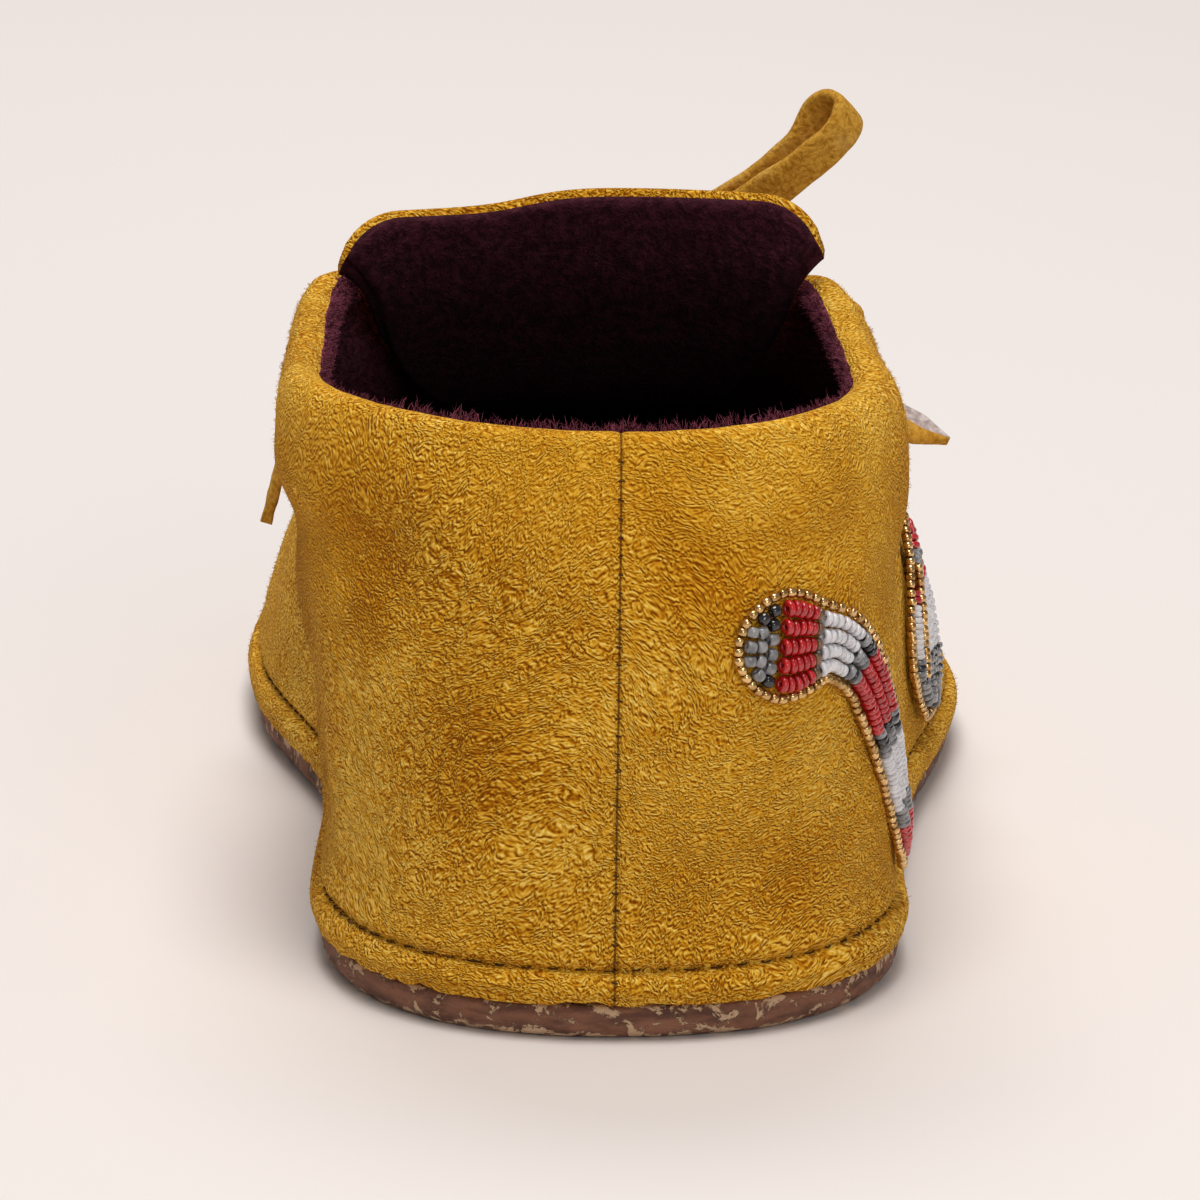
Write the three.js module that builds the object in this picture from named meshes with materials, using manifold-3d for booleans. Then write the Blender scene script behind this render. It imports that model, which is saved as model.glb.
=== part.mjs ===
// Beaded suede moccasin for the right foot: hollow upper, rubber sole, insole, wool-lined tongue,
// two beaded leaves on the outer side and a thong tied in a bow over the tongue.
// Millimetres, +Z up. The toe points along +Y and the outer side of the foot along +X.
import * as THREE from "three";
import { mergeVertices } from "three/addons/utils/BufferGeometryUtils.js";
import Module from "manifold-3d";

// Driving dimensions of the shoe
const LENGTH = 263;
const BALL_WIDTH = 110;
const COLLAR_HEIGHT = 83.5;
const SOLE_THICKNESS = 5;
const TOE_SPRING = 5;
const TOE_SPRING_START = 0.7 * LENGTH;
const HIDE_WALL = 3;
const COLLAR_ROLL = 5.5;
const INSOLE_THICKNESS = 2.5;
const TONGUE_THICKNESS = 3.4;
const BEAD_RISE = 2;
const BEAD_STANDOFF = 0.5;
const EDGE_BEAD_RADIUS = 0.85;
const THONG_WIDTH = 6;
const THONG_THICKNESS = 1.8;
const LACE_HOLE_RADIUS = 2;
const GAP = 0.3;

// Plan of the sole: along is a share of the length, the other columns are shares of the ball width.
const FOOT_SECTIONS = [
  { name: "heel", along: 0.175, lateral: 0.376, medial: 0.365, centre: 0 },
  { name: "waist", along: 0.365, lateral: 0.417, medial: 0.351, centre: 0 },
  { name: "ball", along: 0.62, lateral: 0.523, medial: 0.468, centre: -0.01 },
  { name: "joint", along: 0.685, lateral: 0.514, medial: 0.475, centre: -0.025 },
  { name: "toes", along: 0.806, lateral: 0.441, medial: 0.45, centre: -0.05 },
];
const HEEL_SQUARENESS = 2.3;

// Wall of the upper, from the sole's edge to the collar or to the shoulder of the vamp.
// half, over and belly are shares of the ball width, height and drop shares of the collar height.
// half and height place the top of the wall, over and drop how it turns in below the top,
// belly and rise how it leaves the sole, and lean moves the top towards the inner side.
const WALL_SECTIONS = [
  {
    name: "heel", along: 0.175, half: 0.37, height: 1,
    over: 0.076, drop: 0.06, belly: -0.023, rise: 0.48, lean: -0.034,
  },
  {
    name: "ankle", along: 0.285, half: 0.367, height: 1,
    over: 0.064, drop: 0.07, belly: -0.025, rise: 0.48, lean: -0.035,
  },
  {
    name: "front", along: 0.385, half: 0.352, height: 1.01,
    over: 0.06, drop: 0.08, belly: -0.027, rise: 0.5, lean: -0.034,
  },
  {
    name: "corner", along: 0.425, half: 0.324, height: 0.997,
    over: 0.078, drop: 0.11, belly: -0.014, rise: 0.53, lean: -0.024,
  },
  {
    name: "throat", along: 0.479, half: 0.2, height: 0.85,
    over: 0.15, drop: 0.03, belly: -0.006, rise: 0.55, lean: -0.006,
  },
  {
    name: "instep", along: 0.6, half: 0.2, height: 0.675,
    over: 0.165, drop: 0.05, belly: -0.015, rise: 0.52, lean: 0,
  },
  {
    name: "joint", along: 0.71, half: 0.21, height: 0.555,
    over: 0.155, drop: 0.05, belly: -0.015, rise: 0.52, lean: 0,
  },
  {
    name: "toes", along: 0.806, half: 0.215, height: 0.485,
    over: 0.11, drop: 0.035, belly: -0.002, rise: 0.55, lean: 0,
  },
];
const HEEL_BACK = { half: 0.39, over: 0.05, drop: 0.15, belly: 0.015, rise: 0.46, height: 0.98 };
const TOE_OVER = 0.1;

// Turned hem of the hide above the sole, in millimetres: a soft bulge, then the groove of the stitch row.
const HEM_ROWS = [
  { name: "edge", height: 0, out: 1 },
  { name: "bulge", height: 2.2, out: 1.7 },
  { name: "shoulder", height: 4, out: 1.1 },
  { name: "stitch groove", height: 4.7, out: -0.2 },
  { name: "above", height: 6.4, out: 0.3 },
  { name: "wall", height: 9.5, out: 0 },
];

// Tongue, from its sewn foot under the vamp to its top edge, in millimetres on the front face.
// curl is how far the side edges lie towards the heel, and rise runs from the foot to the top.
const TONGUE_ROWS = [
  { name: "sewn foot", rise: 0, along: 136, height: 62.4, half: 21, curl: 3.5 },
  { name: "throat", rise: 0.27, along: 126, height: 67.8, half: 25.5, curl: 5 },
  { name: "bend", rise: 0.5, along: 117.6, height: 75.5, half: 29.8, curl: 8 },
  { name: "collar", rise: 0.74, along: 112.6, height: 84.5, half: 32, curl: 8.5 },
  { name: "top", rise: 1, along: 109.5, height: 96.2, half: 36, curl: 8 },
];
const TONGUE_LEAN = -3;
const TONGUE_CORNER = 9;
const TONGUE_WAVE = 1.5;

// Beaded leaves on the outer wall, in millimetres: girth is measured round the sole from the back seam.
// way runs from one end of a leaf to the other, and half is half its width.
const LEAVES = [
  {
    name: "heel",
    startRound: 5.6,
    endRound: 2,
    rows: [
      { name: "lobe end", way: 0, girth: 15.8, height: 55, half: 5.4 },
      { name: "lobe", way: 0.09, girth: 20.8, height: 54.5, half: 5.7 },
      { name: "neck", way: 0.21, girth: 28, height: 53.7, half: 3.3 },
      { name: "shoulder", way: 0.285, girth: 31.8, height: 51.4, half: 2.9 },
      { name: "bend", way: 0.36, girth: 35, height: 48, half: 2.6 },
      { name: "limb", way: 0.46, girth: 38.2, height: 42.9, half: 2.6 },
      { name: "middle", way: 0.6, girth: 42.4, height: 36, half: 2.6 },
      { name: "tail", way: 0.8, girth: 48.9, height: 25.8, half: 2.3 },
      { name: "point", way: 1, girth: 56.5, height: 16.4, half: 1 },
    ],
  },
  {
    name: "side",
    startRound: 3.4,
    endRound: 3,
    rows: [
      { name: "foot", way: 0, girth: 139, height: 15.4, half: 3.4 },
      { name: "lower", way: 0.22, girth: 140.4, height: 21.5, half: 8.8 },
      { name: "middle", way: 0.48, girth: 141, height: 29, half: 9.4 },
      { name: "upper", way: 0.765, girth: 140.6, height: 37.5, half: 6.4 },
      { name: "tip", way: 1, girth: 139.8, height: 44, half: 2.2 },
    ],
  },
];

// Thong routes in millimetres, chosen by hand. face is the way that the flat side looks.
const LACE_BAR = [
  { at: [39.1, 114.9, 75.4], face: [0.77, 0.49, 0.4] },
  { at: [35.6, 118.8, 77.6], face: [0.6, 0.55, 0.6] },
  { at: [28.6, 121, 79.5], face: [0.4, 0.7, 0.6] },
  { at: [14, 118.6, 80.6], face: [0.1, 0.9, 0.4] },
  { at: [-1, 116.6, 81], face: [0, 0.93, 0.36] },
  { at: [-16, 118.5, 80.5], face: [-0.1, 0.9, 0.4] },
  { at: [-30.6, 121, 79.3], face: [-0.4, 0.7, 0.6] },
  { at: [-37.8, 118.8, 77], face: [-0.6, 0.55, 0.6] },
  { at: [-42, 115, 75.2], face: [-0.78, 0.6, 0.19] },
];
const KNOT = { at: [-1, 122, 81.5], size: [11, 8, 9] };
const LACE_LOOP_OUTER = [
  { at: [4.1, 120.7, 83.7], face: [0.3, -0.92, -0.25] },
  { at: [13.5, 118.4, 88.6], face: [0.3, -0.95, -0.15] },
  { at: [23.5, 116, 94.4], face: [0.3, -0.95, -0.1] },
  { at: [31.7, 114.6, 100.8], face: [0.35, -0.93, -0.05] },
  { at: [36, 115.4, 105], face: [0.6, -0.75, 0.1] },
  { at: [36.8, 117.8, 107.6], face: [0.75, 0, 0.66] },
  { at: [33.8, 120.6, 107.4], face: [0.1, 0.9, 0.45] },
  { at: [30, 121.8, 101.6], face: [-0.35, 0.9, 0.3] },
  { at: [21.6, 122.2, 94], face: [-0.35, 0.9, 0.3] },
  { at: [3.2, 122.6, 86.2], face: [-0.4, 0.85, 0.35] },
];
const LACE_LOOP_INNER = [
  { at: [-6.1, 120.5, 85.3], face: [-0.1, 0.1, 0.97] },
  { at: [-15.5, 123.5, 83.2], face: [-0.2, 0.1, 0.97] },
  { at: [-25, 128.6, 79], face: [-0.45, 0.2, 0.87] },
  { at: [-32, 133.6, 72.5], face: [-0.6, 0.4, 0.69] },
  { at: [-35.5, 138, 66.5], face: [-0.75, 0.65, 0.1] },
  { at: [-33.8, 140.6, 64.4], face: [-0.3, 0.6, -0.75] },
  { at: [-27.5, 138.5, 66.2], face: [0.2, 0.2, -0.96] },
  { at: [-19.5, 133.5, 70.6], face: [0.3, 0.1, -0.94] },
  { at: [-11.5, 128.5, 74], face: [0.3, 0.1, -0.94] },
  { at: [-4.3, 124.8, 77.3], face: [0.4, -0.1, -0.9] },
];
const LACE_END_OUTER = [
  { at: [4, 123.4, 79.4], face: [0.1, 0.3, 0.95] },
  { at: [14, 126.5, 75], face: [0.2, 0.3, 0.93] },
  { at: [25, 128, 71.6], face: [0.35, 0.2, 0.9] },
  { at: [35, 127.5, 67], face: [0.5, -0.1, 0.85] },
  { at: [44.5, 125.5, 60], face: [0.45, -0.5, 0.74] },
  { at: [53, 122.5, 55.4], face: [0.4, -0.75, 0.52] },
];
const LACE_END_INNER = [
  { at: [-7, 123, 81.2], face: [-0.1, 0.3, 0.95] },
  { at: [-16, 125, 76.8], face: [-0.3, 0.2, 0.93] },
  { at: [-27, 125.8, 74.8], face: [-0.4, 0.1, 0.9] },
  { at: [-38, 125.2, 68.5], face: [-0.65, 0, 0.75] },
  { at: [-45.4, 123.6, 57.4], face: [-0.85, 0, 0.5] },
  { at: [-49.7, 121.5, 43], face: [-0.97, 0, 0.2] },
];

// Mesh fineness: steps for each quarter of heel and toe, along a side, and up the wall.
const HEEL_STEPS = 9;
const SIDE_STEPS = 15;
const TOE_STEPS = 8;
const WALL_STEPS = 9;
const LID_STEPS = 4;
const LEAF_STEPS = 28;
const LEAF_ACROSS = 4;
const EDGE_SIDES = 6;
const TONGUE_STEPS = 12;
const TONGUE_ACROSS = 12;
const THONG_STEP = 6;

const QUARTER_TURN = Math.PI / 2;
const wasm = await Module();
wasm.setup();

// Smooth curve without overshoot through one named column of a table. It starts and ends level,
// unless open says that it runs on past its first and last rows or its last row alone.
function columnCurve(rows, key, column, scale = 1, open = "none") {
  const last = rows.length - 1;
  const width = (i) => rows[i + 1][key] - rows[i][key];
  const slope = (i) => (scale * (rows[i + 1][column] - rows[i][column])) / width(i);
  const tangents = rows.map((row, i) => {
    if (i === 0 || i === last || slope(i - 1) * slope(i) <= 0) return 0;
    const before = 2 * width(i) + width(i - 1);
    const after = width(i) + 2 * width(i - 1);
    return (before + after) / (before / slope(i - 1) + after / slope(i));
  });
  if (open === "both") tangents[0] = 1.5 * slope(0) - 0.5 * tangents[1];
  if (open !== "none") tangents[last] = 1.5 * slope(last - 1) - 0.5 * tangents[last - 1];
  return (at) => {
    let i = 0;
    while (i < last - 1 && at > rows[i + 1][key]) i += 1;
    const t = THREE.MathUtils.clamp((at - rows[i][key]) / width(i), 0, 1);
    const rest = 1 - t;
    return (
      scale * rows[i][column] * rest * rest * (1 + 2 * t) +
      scale * rows[i + 1][column] * t * t * (3 - 2 * t) +
      width(i) * t * rest * (tangents[i] * rest - tangents[i + 1] * t)
    );
  };
}

// Columns of a table as curves of one key, each with the size that its shares are taken of.
function tableCurves(rows, key, open, scales) {
  const curve = ([column, scale]) => [column, columnCurve(rows, key, column, scale, open)];
  return Object.fromEntries(Object.entries(scales).map(curve));
}

const foot = tableCurves(FOOT_SECTIONS, "along", "last", {
  lateral: BALL_WIDTH,
  medial: BALL_WIDTH,
  centre: BALL_WIDTH,
});
const wallTable = tableCurves(WALL_SECTIONS, "along", "last", {
  half: BALL_WIDTH,
  over: BALL_WIDTH,
  belly: BALL_WIDTH,
  lean: BALL_WIDTH,
  height: COLLAR_HEIGHT,
  drop: COLLAR_HEIGHT,
  rise: 1,
});
const hemOut = columnCurve(HEM_ROWS, "height", "out");
const HEM_TOP = HEM_ROWS.at(-1).height;

// Girth runs round the sole from the back seam to the toe, positive on the outer side.
const HEEL_ALONG = FOOT_SECTIONS[0].along * LENGTH;
const TOE_ALONG = FOOT_SECTIONS.at(-1).along * LENGTH;
const THROAT_ALONG = WALL_SECTIONS.find((row) => row.name === "throat").along * LENGTH;
const CORNER_ALONG = WALL_SECTIONS.find((row) => row.name === "corner").along * LENGTH;
const HEEL_GIRTH = 66;
const TOE_START = HEEL_GIRTH + TOE_ALONG - HEEL_ALONG;
const TOE_GIRTH = TOE_START + 80;
const TOE_REACH = LENGTH - TOE_ALONG;

// Fall of the vamp's ridge for each millimetre forward, carried on over the toes.
const RIDGE_FALL = wallTable.height((TOE_ALONG - 1) / LENGTH) - wallTable.height(TOE_ALONG / LENGTH);

// Lift of the sole towards the toe.
function spring(along) {
  const share = (along - TOE_SPRING_START) / (LENGTH - TOE_SPRING_START);
  return TOE_SPRING * Math.max(0, share) ** 2;
}

const girthAt = (along) => HEEL_GIRTH + along - HEEL_ALONG;

// Half-width of the sole on one side of the centre line.
function sideReach(side, along) {
  const centre = foot.centre(along / LENGTH);
  return side > 0 ? foot.lateral(along / LENGTH) - centre : foot.medial(along / LENGTH) + centre;
}

// Upright half-plane at a girth: its centre, its direction and the reach to the sole's edge.
function section(girth) {
  const past = Math.abs(girth) > TOE_GIRTH;
  const side = (girth < 0) !== past ? -1 : 1;
  const way = past ? 2 * TOE_GIRTH - Math.abs(girth) : Math.abs(girth);
  if (way < HEEL_GIRTH) {
    const angle = (1 - way / HEEL_GIRTH) * QUARTER_TURN;
    const sideways = Math.cos(angle) / sideReach(side, HEEL_ALONG);
    const back = Math.sin(angle) / HEEL_ALONG;
    const reach = (sideways ** HEEL_SQUARENESS + back ** HEEL_SQUARENESS) ** (-1 / HEEL_SQUARENESS);
    const centre = new THREE.Vector2(0, HEEL_ALONG);
    const dir = new THREE.Vector2(side * Math.cos(angle), -Math.sin(angle));
    return { centre, dir, reach, back: Math.sin(angle) ** 2, front: 0 };
  }
  if (way <= TOE_START) {
    const along = HEEL_ALONG + way - HEEL_GIRTH;
    const centre = new THREE.Vector2(foot.centre(along / LENGTH), along);
    return { centre, dir: new THREE.Vector2(side, 0), reach: sideReach(side, along), back: 0, front: 0 };
  }
  const turn = (way - TOE_START) / (TOE_GIRTH - TOE_START);
  const angle = turn * QUARTER_TURN;
  const start = sideReach(side, TOE_ALONG);
  const slope = (start - sideReach(side, TOE_ALONG - 1)) * start * QUARTER_TURN;
  const rest = 1 - turn;
  const leaving = rest * rest * (start * (1 + 2 * turn) + slope * turn);
  const reach = leaving + TOE_REACH * turn * turn * (3 - 2 * turn);
  const centre = new THREE.Vector2(foot.centre(TOE_ALONG / LENGTH), TOE_ALONG);
  const dir = new THREE.Vector2(side * Math.cos(angle), Math.sin(angle));
  return { centre, dir, reach, back: 0, front: Math.sin(angle) };
}

// Control points of the wall in its half-plane, as distances out from the centre and heights.
function profile(cut) {
  const along = cut.centre.y / LENGTH;
  const columns = Object.entries(wallTable);
  const row = Object.fromEntries(columns.map(([column, curve]) => [column, curve(along)]));
  const mixBack = (column, scale) => THREE.MathUtils.lerp(row[column], HEEL_BACK[column] * scale, cut.back);
  const half = mixBack("half", BALL_WIDTH);
  const over = THREE.MathUtils.lerp(mixBack("over", BALL_WIDTH), TOE_OVER * BALL_WIDTH, cut.front);
  const fall = RIDGE_FALL * cut.front;
  const turnIn = mixBack("drop", COLLAR_HEIGHT) / mixBack("over", BALL_WIDTH) + fall;
  const top = mixBack("height", COLLAR_HEIGHT) - fall * half;
  const bottom = SOLE_THICKNESS + GAP + spring(cut.centre.y + cut.dir.y * cut.reach);
  const rise = mixBack("rise", 1);
  const crown = ((row.drop / row.over) * half) / 2;
  return {
    out: [cut.reach, cut.reach + mixBack("belly", BALL_WIDTH), half + over, half],
    up: [bottom, bottom + rise * (top - bottom), top - over * turnIn, top],
    lean: row.lean * (1 - cut.back),
    ridge: row.height + crown,
    crown,
    fall: fall * half,
  };
}

function bezier([a, b, c, d], t) {
  const rest = 1 - t;
  return rest ** 3 * a + 3 * rest * rest * t * b + 3 * rest * t * t * c + t ** 3 * d;
}

// Point of the last: share 0 to 1 climbs the wall, and 1 to 2 crosses the vamp to its ridge.
function lastPoint(girth, share) {
  const cut = section(girth);
  const shape = profile(cut);
  let out = bezier(shape.out, Math.min(share, 1));
  let up = bezier(shape.up, Math.min(share, 1));
  if (share > 1) {
    const rest = 2 - share;
    up = shape.ridge - shape.fall * rest - shape.crown * rest * rest;
    out *= rest;
  }
  const lean = shape.lean * Math.min(share, 1);
  return new THREE.Vector3(cut.centre.x + cut.dir.x * out + lean, cut.centre.y + cut.dir.y * out, up);
}

// Point at a distance outside the last, along its normal. The ridge has one normal for both sides.
function skinPoint(girth, share, out) {
  const high = Math.abs(girth) >= girthAt(THROAT_ALONG) ? 2 : 1;
  const point = lastPoint(girth, share);
  const round = lastPoint(girth + 0.5, share).sub(lastPoint(girth - 0.5, share));
  const below = lastPoint(girth, Math.max(share - 0.01, 0));
  const climb = lastPoint(girth, Math.min(share + 0.01, high)).sub(below);
  const normal = round.clone().cross(climb);
  if (share === 2) normal.set(0, -round.z * Math.sign(round.y), Math.abs(round.y));
  if (share === 2 && Math.abs(girth) >= TOE_START) normal.set(0, RIDGE_FALL, 1);
  return point.addScaledVector(normal.normalize(), out);
}

// Share of the wall's climb at a height above the floor.
function shareAtHeight(girth, height) {
  const { up } = profile(section(girth));
  let low = 0;
  let high = 1;
  for (let i = 0; i < 24; i += 1) {
    const middle = (low + high) / 2;
    if (bezier(up, middle) < height) low = middle;
    else high = middle;
  }
  return (low + high) / 2;
}

// Triangles gathered into one closed surface, turned so that its faces point out.
class Surface {
  corners = [];

  triangle(a, b, c) {
    this.corners.push(a, b, c);
  }

  quad(a, b, c, d) {
    this.triangle(a, b, c);
    this.triangle(a, c, d);
  }

  // Band of quads between two rows of points; a closed band joins its end to its start.
  band(low, high, closed = false) {
    const count = closed ? low.length : low.length - 1;
    for (let i = 0; i < count; i += 1) {
      const next = (i + 1) % low.length;
      this.quad(low[i], low[next], high[next], high[i]);
    }
  }

  // Flat or crowned end over a closed row, fanned from a middle point.
  cap(row, middle) {
    row.forEach((point, i) => this.triangle(point, row[(i + 1) % row.length], middle));
  }

  geometry() {
    const positions = this.corners.flatMap((point) => point.toArray());
    const loose = new THREE.BufferGeometry();
    loose.setAttribute("position", new THREE.Float32BufferAttribute(positions, 3));
    const merged = mergeVertices(loose, 1e-3);
    const index = merged.index.array;
    const kept = [];
    for (let i = 0; i < index.length; i += 3) {
      const [a, b, c] = index.slice(i, i + 3);
      if (a !== b && b !== c && a !== c) kept.push(a, b, c);
    }
    const at = (i) => new THREE.Vector3().fromBufferAttribute(merged.attributes.position, i);
    let volume = 0;
    for (let i = 0; i < kept.length; i += 3) {
      volume += at(kept[i]).dot(at(kept[i + 1]).cross(at(kept[i + 2])));
    }
    if (volume < 0) kept.reverse();
    merged.setIndex(kept);
    return merged;
  }
}

function solidOf(geometry) {
  const bare = geometry.clone();
  bare.deleteAttribute("normal");
  bare.deleteAttribute("uv");
  const merged = mergeVertices(bare, 1e-3);
  const vertProperties = merged.attributes.position.array;
  const triVerts = new Uint32Array(merged.index.array);
  return new wasm.Manifold(new wasm.Mesh({ numProp: 3, vertProperties, triVerts }));
}

function geometryOf(solid) {
  const { vertProperties, triVerts } = solid.getMesh();
  const geometry = new THREE.BufferGeometry();
  geometry.setAttribute("position", new THREE.Float32BufferAttribute(vertProperties, 3));
  geometry.setIndex(Array.from(triVerts));
  return geometry;
}

function steps(count, from, to) {
  return Array.from({ length: count + 1 }, (_, i) => from + ((to - from) * i) / count);
}

// Girths of the outer side from the back seam to the toe, with one station on the throat seam.
const throatGirth = girthAt(THROAT_ALONG);
const backSteps = Math.round((SIDE_STEPS * (throatGirth - HEEL_GIRTH)) / (TOE_START - HEEL_GIRTH));
const outerGirths = [
  ...steps(HEEL_STEPS, 0, HEEL_GIRTH).slice(0, -1),
  ...steps(backSteps, HEEL_GIRTH, throatGirth).slice(0, -1),
  ...steps(SIDE_STEPS - backSteps, throatGirth, TOE_START).slice(0, -1),
  ...steps(TOE_STEPS, TOE_START, TOE_GIRTH),
];
const innerGirths = outerGirths.slice(1, -1).reverse().map((girth) => -girth);
const ringGirths = [...outerGirths, ...innerGirths];

// Rows up the wall: the hem's own heights first, then even steps to the top.
function wallShares(girth) {
  const bottom = profile(section(girth)).up[0];
  const hem = HEM_ROWS.map((row) => (row.height ? shareAtHeight(girth, bottom + row.height) : 0));
  return [...hem, ...steps(WALL_STEPS, hem.at(-1), 1).slice(1)];
}

// Hide and wool together, thicker where the collar is rolled over.
function wallThickness(girth, share) {
  const along = section(girth).centre.y;
  const roll = 1 - THREE.MathUtils.smoothstep(along, CORNER_ALONG, THROAT_ALONG);
  return HIDE_WALL + (COLLAR_ROLL - HIDE_WALL) * roll * THREE.MathUtils.smoothstep(share, 0.82, 1);
}

function hidePair(girth, share) {
  const rise = lastPoint(girth, share).z - lastPoint(girth, 0).z;
  const hem = share < 1 && rise < HEM_TOP ? hemOut(rise) : 0;
  const outer = skinPoint(girth, share, hem);
  const inner = skinPoint(girth, share, -wallThickness(girth, share));
  if (share === 0) {
    outer.z = lastPoint(girth, 0).z;
    inner.z = outer.z;
  }
  return { outer, inner };
}

// Round nose of the rolled edge, between its outer and inner faces and a little beyond them.
function edgeNose(pair, before) {
  const middle = pair.outer.clone().add(pair.inner).multiplyScalar(0.5);
  const onward = middle.clone().sub(before.outer.clone().add(before.inner).multiplyScalar(0.5)).normalize();
  return middle.addScaledVector(onward, 0.42 * pair.outer.distanceTo(pair.inner));
}

// Hollow upper: open at the collar and throat, and underneath along the sole.
function upperGeometry() {
  const surface = new Surface();
  const columns = ringGirths.map((girth) => wallShares(girth).map((share) => hidePair(girth, share)));
  const rowCount = columns[0].length;
  for (let row = 0; row + 1 < rowCount; row += 1) {
    for (const face of ["outer", "inner"]) {
      const low = columns.map((column) => column[row][face]);
      const high = columns.map((column) => column[row + 1][face]);
      if (face === "outer") surface.band(low, high, true);
      else surface.band(high, low, true);
    }
  }
  const foot = columns.map((column) => column[0]);
  surface.band(foot.map((pair) => pair.inner), foot.map((pair) => pair.outer), true);

  // Vamp top between its two shoulders, forward of the throat seam
  const vamp = ringGirths.filter((girth) => Math.abs(girth) >= throatGirth - 1e-6);
  const lid = vamp.map((girth) => steps(LID_STEPS, 1, 2).map((share) => hidePair(girth, share)));
  for (let row = 0; row < LID_STEPS; row += 1) {
    surface.band(lid.map((column) => column[row].outer), lid.map((column) => column[row + 1].outer));
    surface.band(lid.map((column) => column[row + 1].inner), lid.map((column) => column[row].inner));
  }

  // Rolled edge, from the middle of the throat seam round the collar and back
  const opening = [];
  const first = vamp.length - 1;
  const ahead = lid[first - 1];
  for (let row = LID_STEPS; row > 0; row -= 1) opening.push({ pair: lid[first][row], before: ahead[row] });
  const throatAt = ringGirths.findIndex((girth) => girth === vamp[first]);
  const collar = [...columns.slice(throatAt), ...columns.slice(0, outerGirths.indexOf(throatGirth) + 1)];
  collar.forEach((column) => opening.push({ pair: column[rowCount - 1], before: column[rowCount - 2] }));
  for (let row = 1; row < LID_STEPS; row += 1) opening.push({ pair: lid[0][row], before: lid[1][row] });
  const noses = opening.map(({ pair, before }) => edgeNose(pair, before));
  surface.band(opening.map(({ pair }) => pair.outer), noses, true);
  surface.band(noses, opening.map(({ pair }) => pair.inner), true);
  return surface.geometry();
}

// Punched hole through a front corner of the collar, where the thong comes out.
function laceHole(side) {
  const girth = side * girthAt(CORNER_ALONG + 2);
  const at = skinPoint(girth, 0.8, 0);
  const way = skinPoint(girth, 0.8, 1).sub(at).normalize();
  const hole = new THREE.CylinderGeometry(LACE_HOLE_RADIUS, LACE_HOLE_RADIUS, 6 * HIDE_WALL, 10);
  const upright = new THREE.Vector3(0, 1, 0);
  hole.applyQuaternion(new THREE.Quaternion().setFromUnitVectors(upright, way));
  return hole.translate(at.x, at.y, at.z);
}

// Ring of points inside the sole's edge. spread 1 is the edge less its inset, and 0 the centre line.
function solePlanRow(inset, spread, height) {
  return ringGirths.map((girth) => {
    const { centre, dir, reach } = section(girth);
    const out = (reach - inset) * spread;
    const along = centre.y + dir.y * out;
    return new THREE.Vector3(centre.x + dir.x * out, along, height + spring(along));
  });
}

function plateGeometry(rows) {
  const surface = new Surface();
  rows.slice(1).forEach((row, i) => surface.band(rows[i], row, true));
  return surface.geometry();
}

// Rubber sole: a flat tread with its edge rounded up, toe spring and a plain top.
function outsoleGeometry() {
  const edge = [
    { inset: 3, height: 0 },
    { inset: 1, height: 0.7 },
    { inset: 0, height: 2.2 },
    { inset: 0.2, height: SOLE_THICKNESS },
  ];
  const tread = edge[0].inset;
  return plateGeometry([
    solePlanRow(tread, 0, 0),
    solePlanRow(tread, 0.6, 0),
    ...edge.map((row) => solePlanRow(row.inset, 1, row.height)),
    solePlanRow(0.2, 0.6, SOLE_THICKNESS),
    solePlanRow(0.2, 0, SOLE_THICKNESS),
  ]);
}

function insoleGeometry() {
  const inset = HIDE_WALL + 2 * GAP;
  const low = SOLE_THICKNESS + GAP;
  const high = low + INSOLE_THICKNESS;
  return plateGeometry([
    solePlanRow(inset, 0, low),
    solePlanRow(inset, 0.6, low),
    solePlanRow(inset, 1, low),
    solePlanRow(inset, 1, high),
    solePlanRow(inset, 0.6, high),
    solePlanRow(inset, 0, high),
  ]);
}

const tongueTable = tableCurves(TONGUE_ROWS, "rise", "both", { along: 1, height: 1, half: 1, curl: 1 });

// Point of the tongue's front face: across runs from -1 at the inner edge to 1 at the outer.
function tonguePoint(rise, across) {
  const half = tongueTable.half(rise);
  const x = across * half;
  const corner = Math.max(0, Math.abs(x) - (half - TONGUE_CORNER)) / TONGUE_CORNER;
  const rounded = TONGUE_CORNER * (1 - Math.sqrt(Math.max(0, 1 - corner * corner)));
  const wave = TONGUE_WAVE * Math.tanh((x + 8) / 7) - 0.25 * TONGUE_WAVE;
  const topShift = rise ** 4 * (wave - rounded);
  const along = tongueTable.along(rise) - tongueTable.curl(rise) * Math.abs(across) ** 2.2;
  return new THREE.Vector3(x + TONGUE_LEAN, along, tongueTable.height(rise) + topShift);
}

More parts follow.
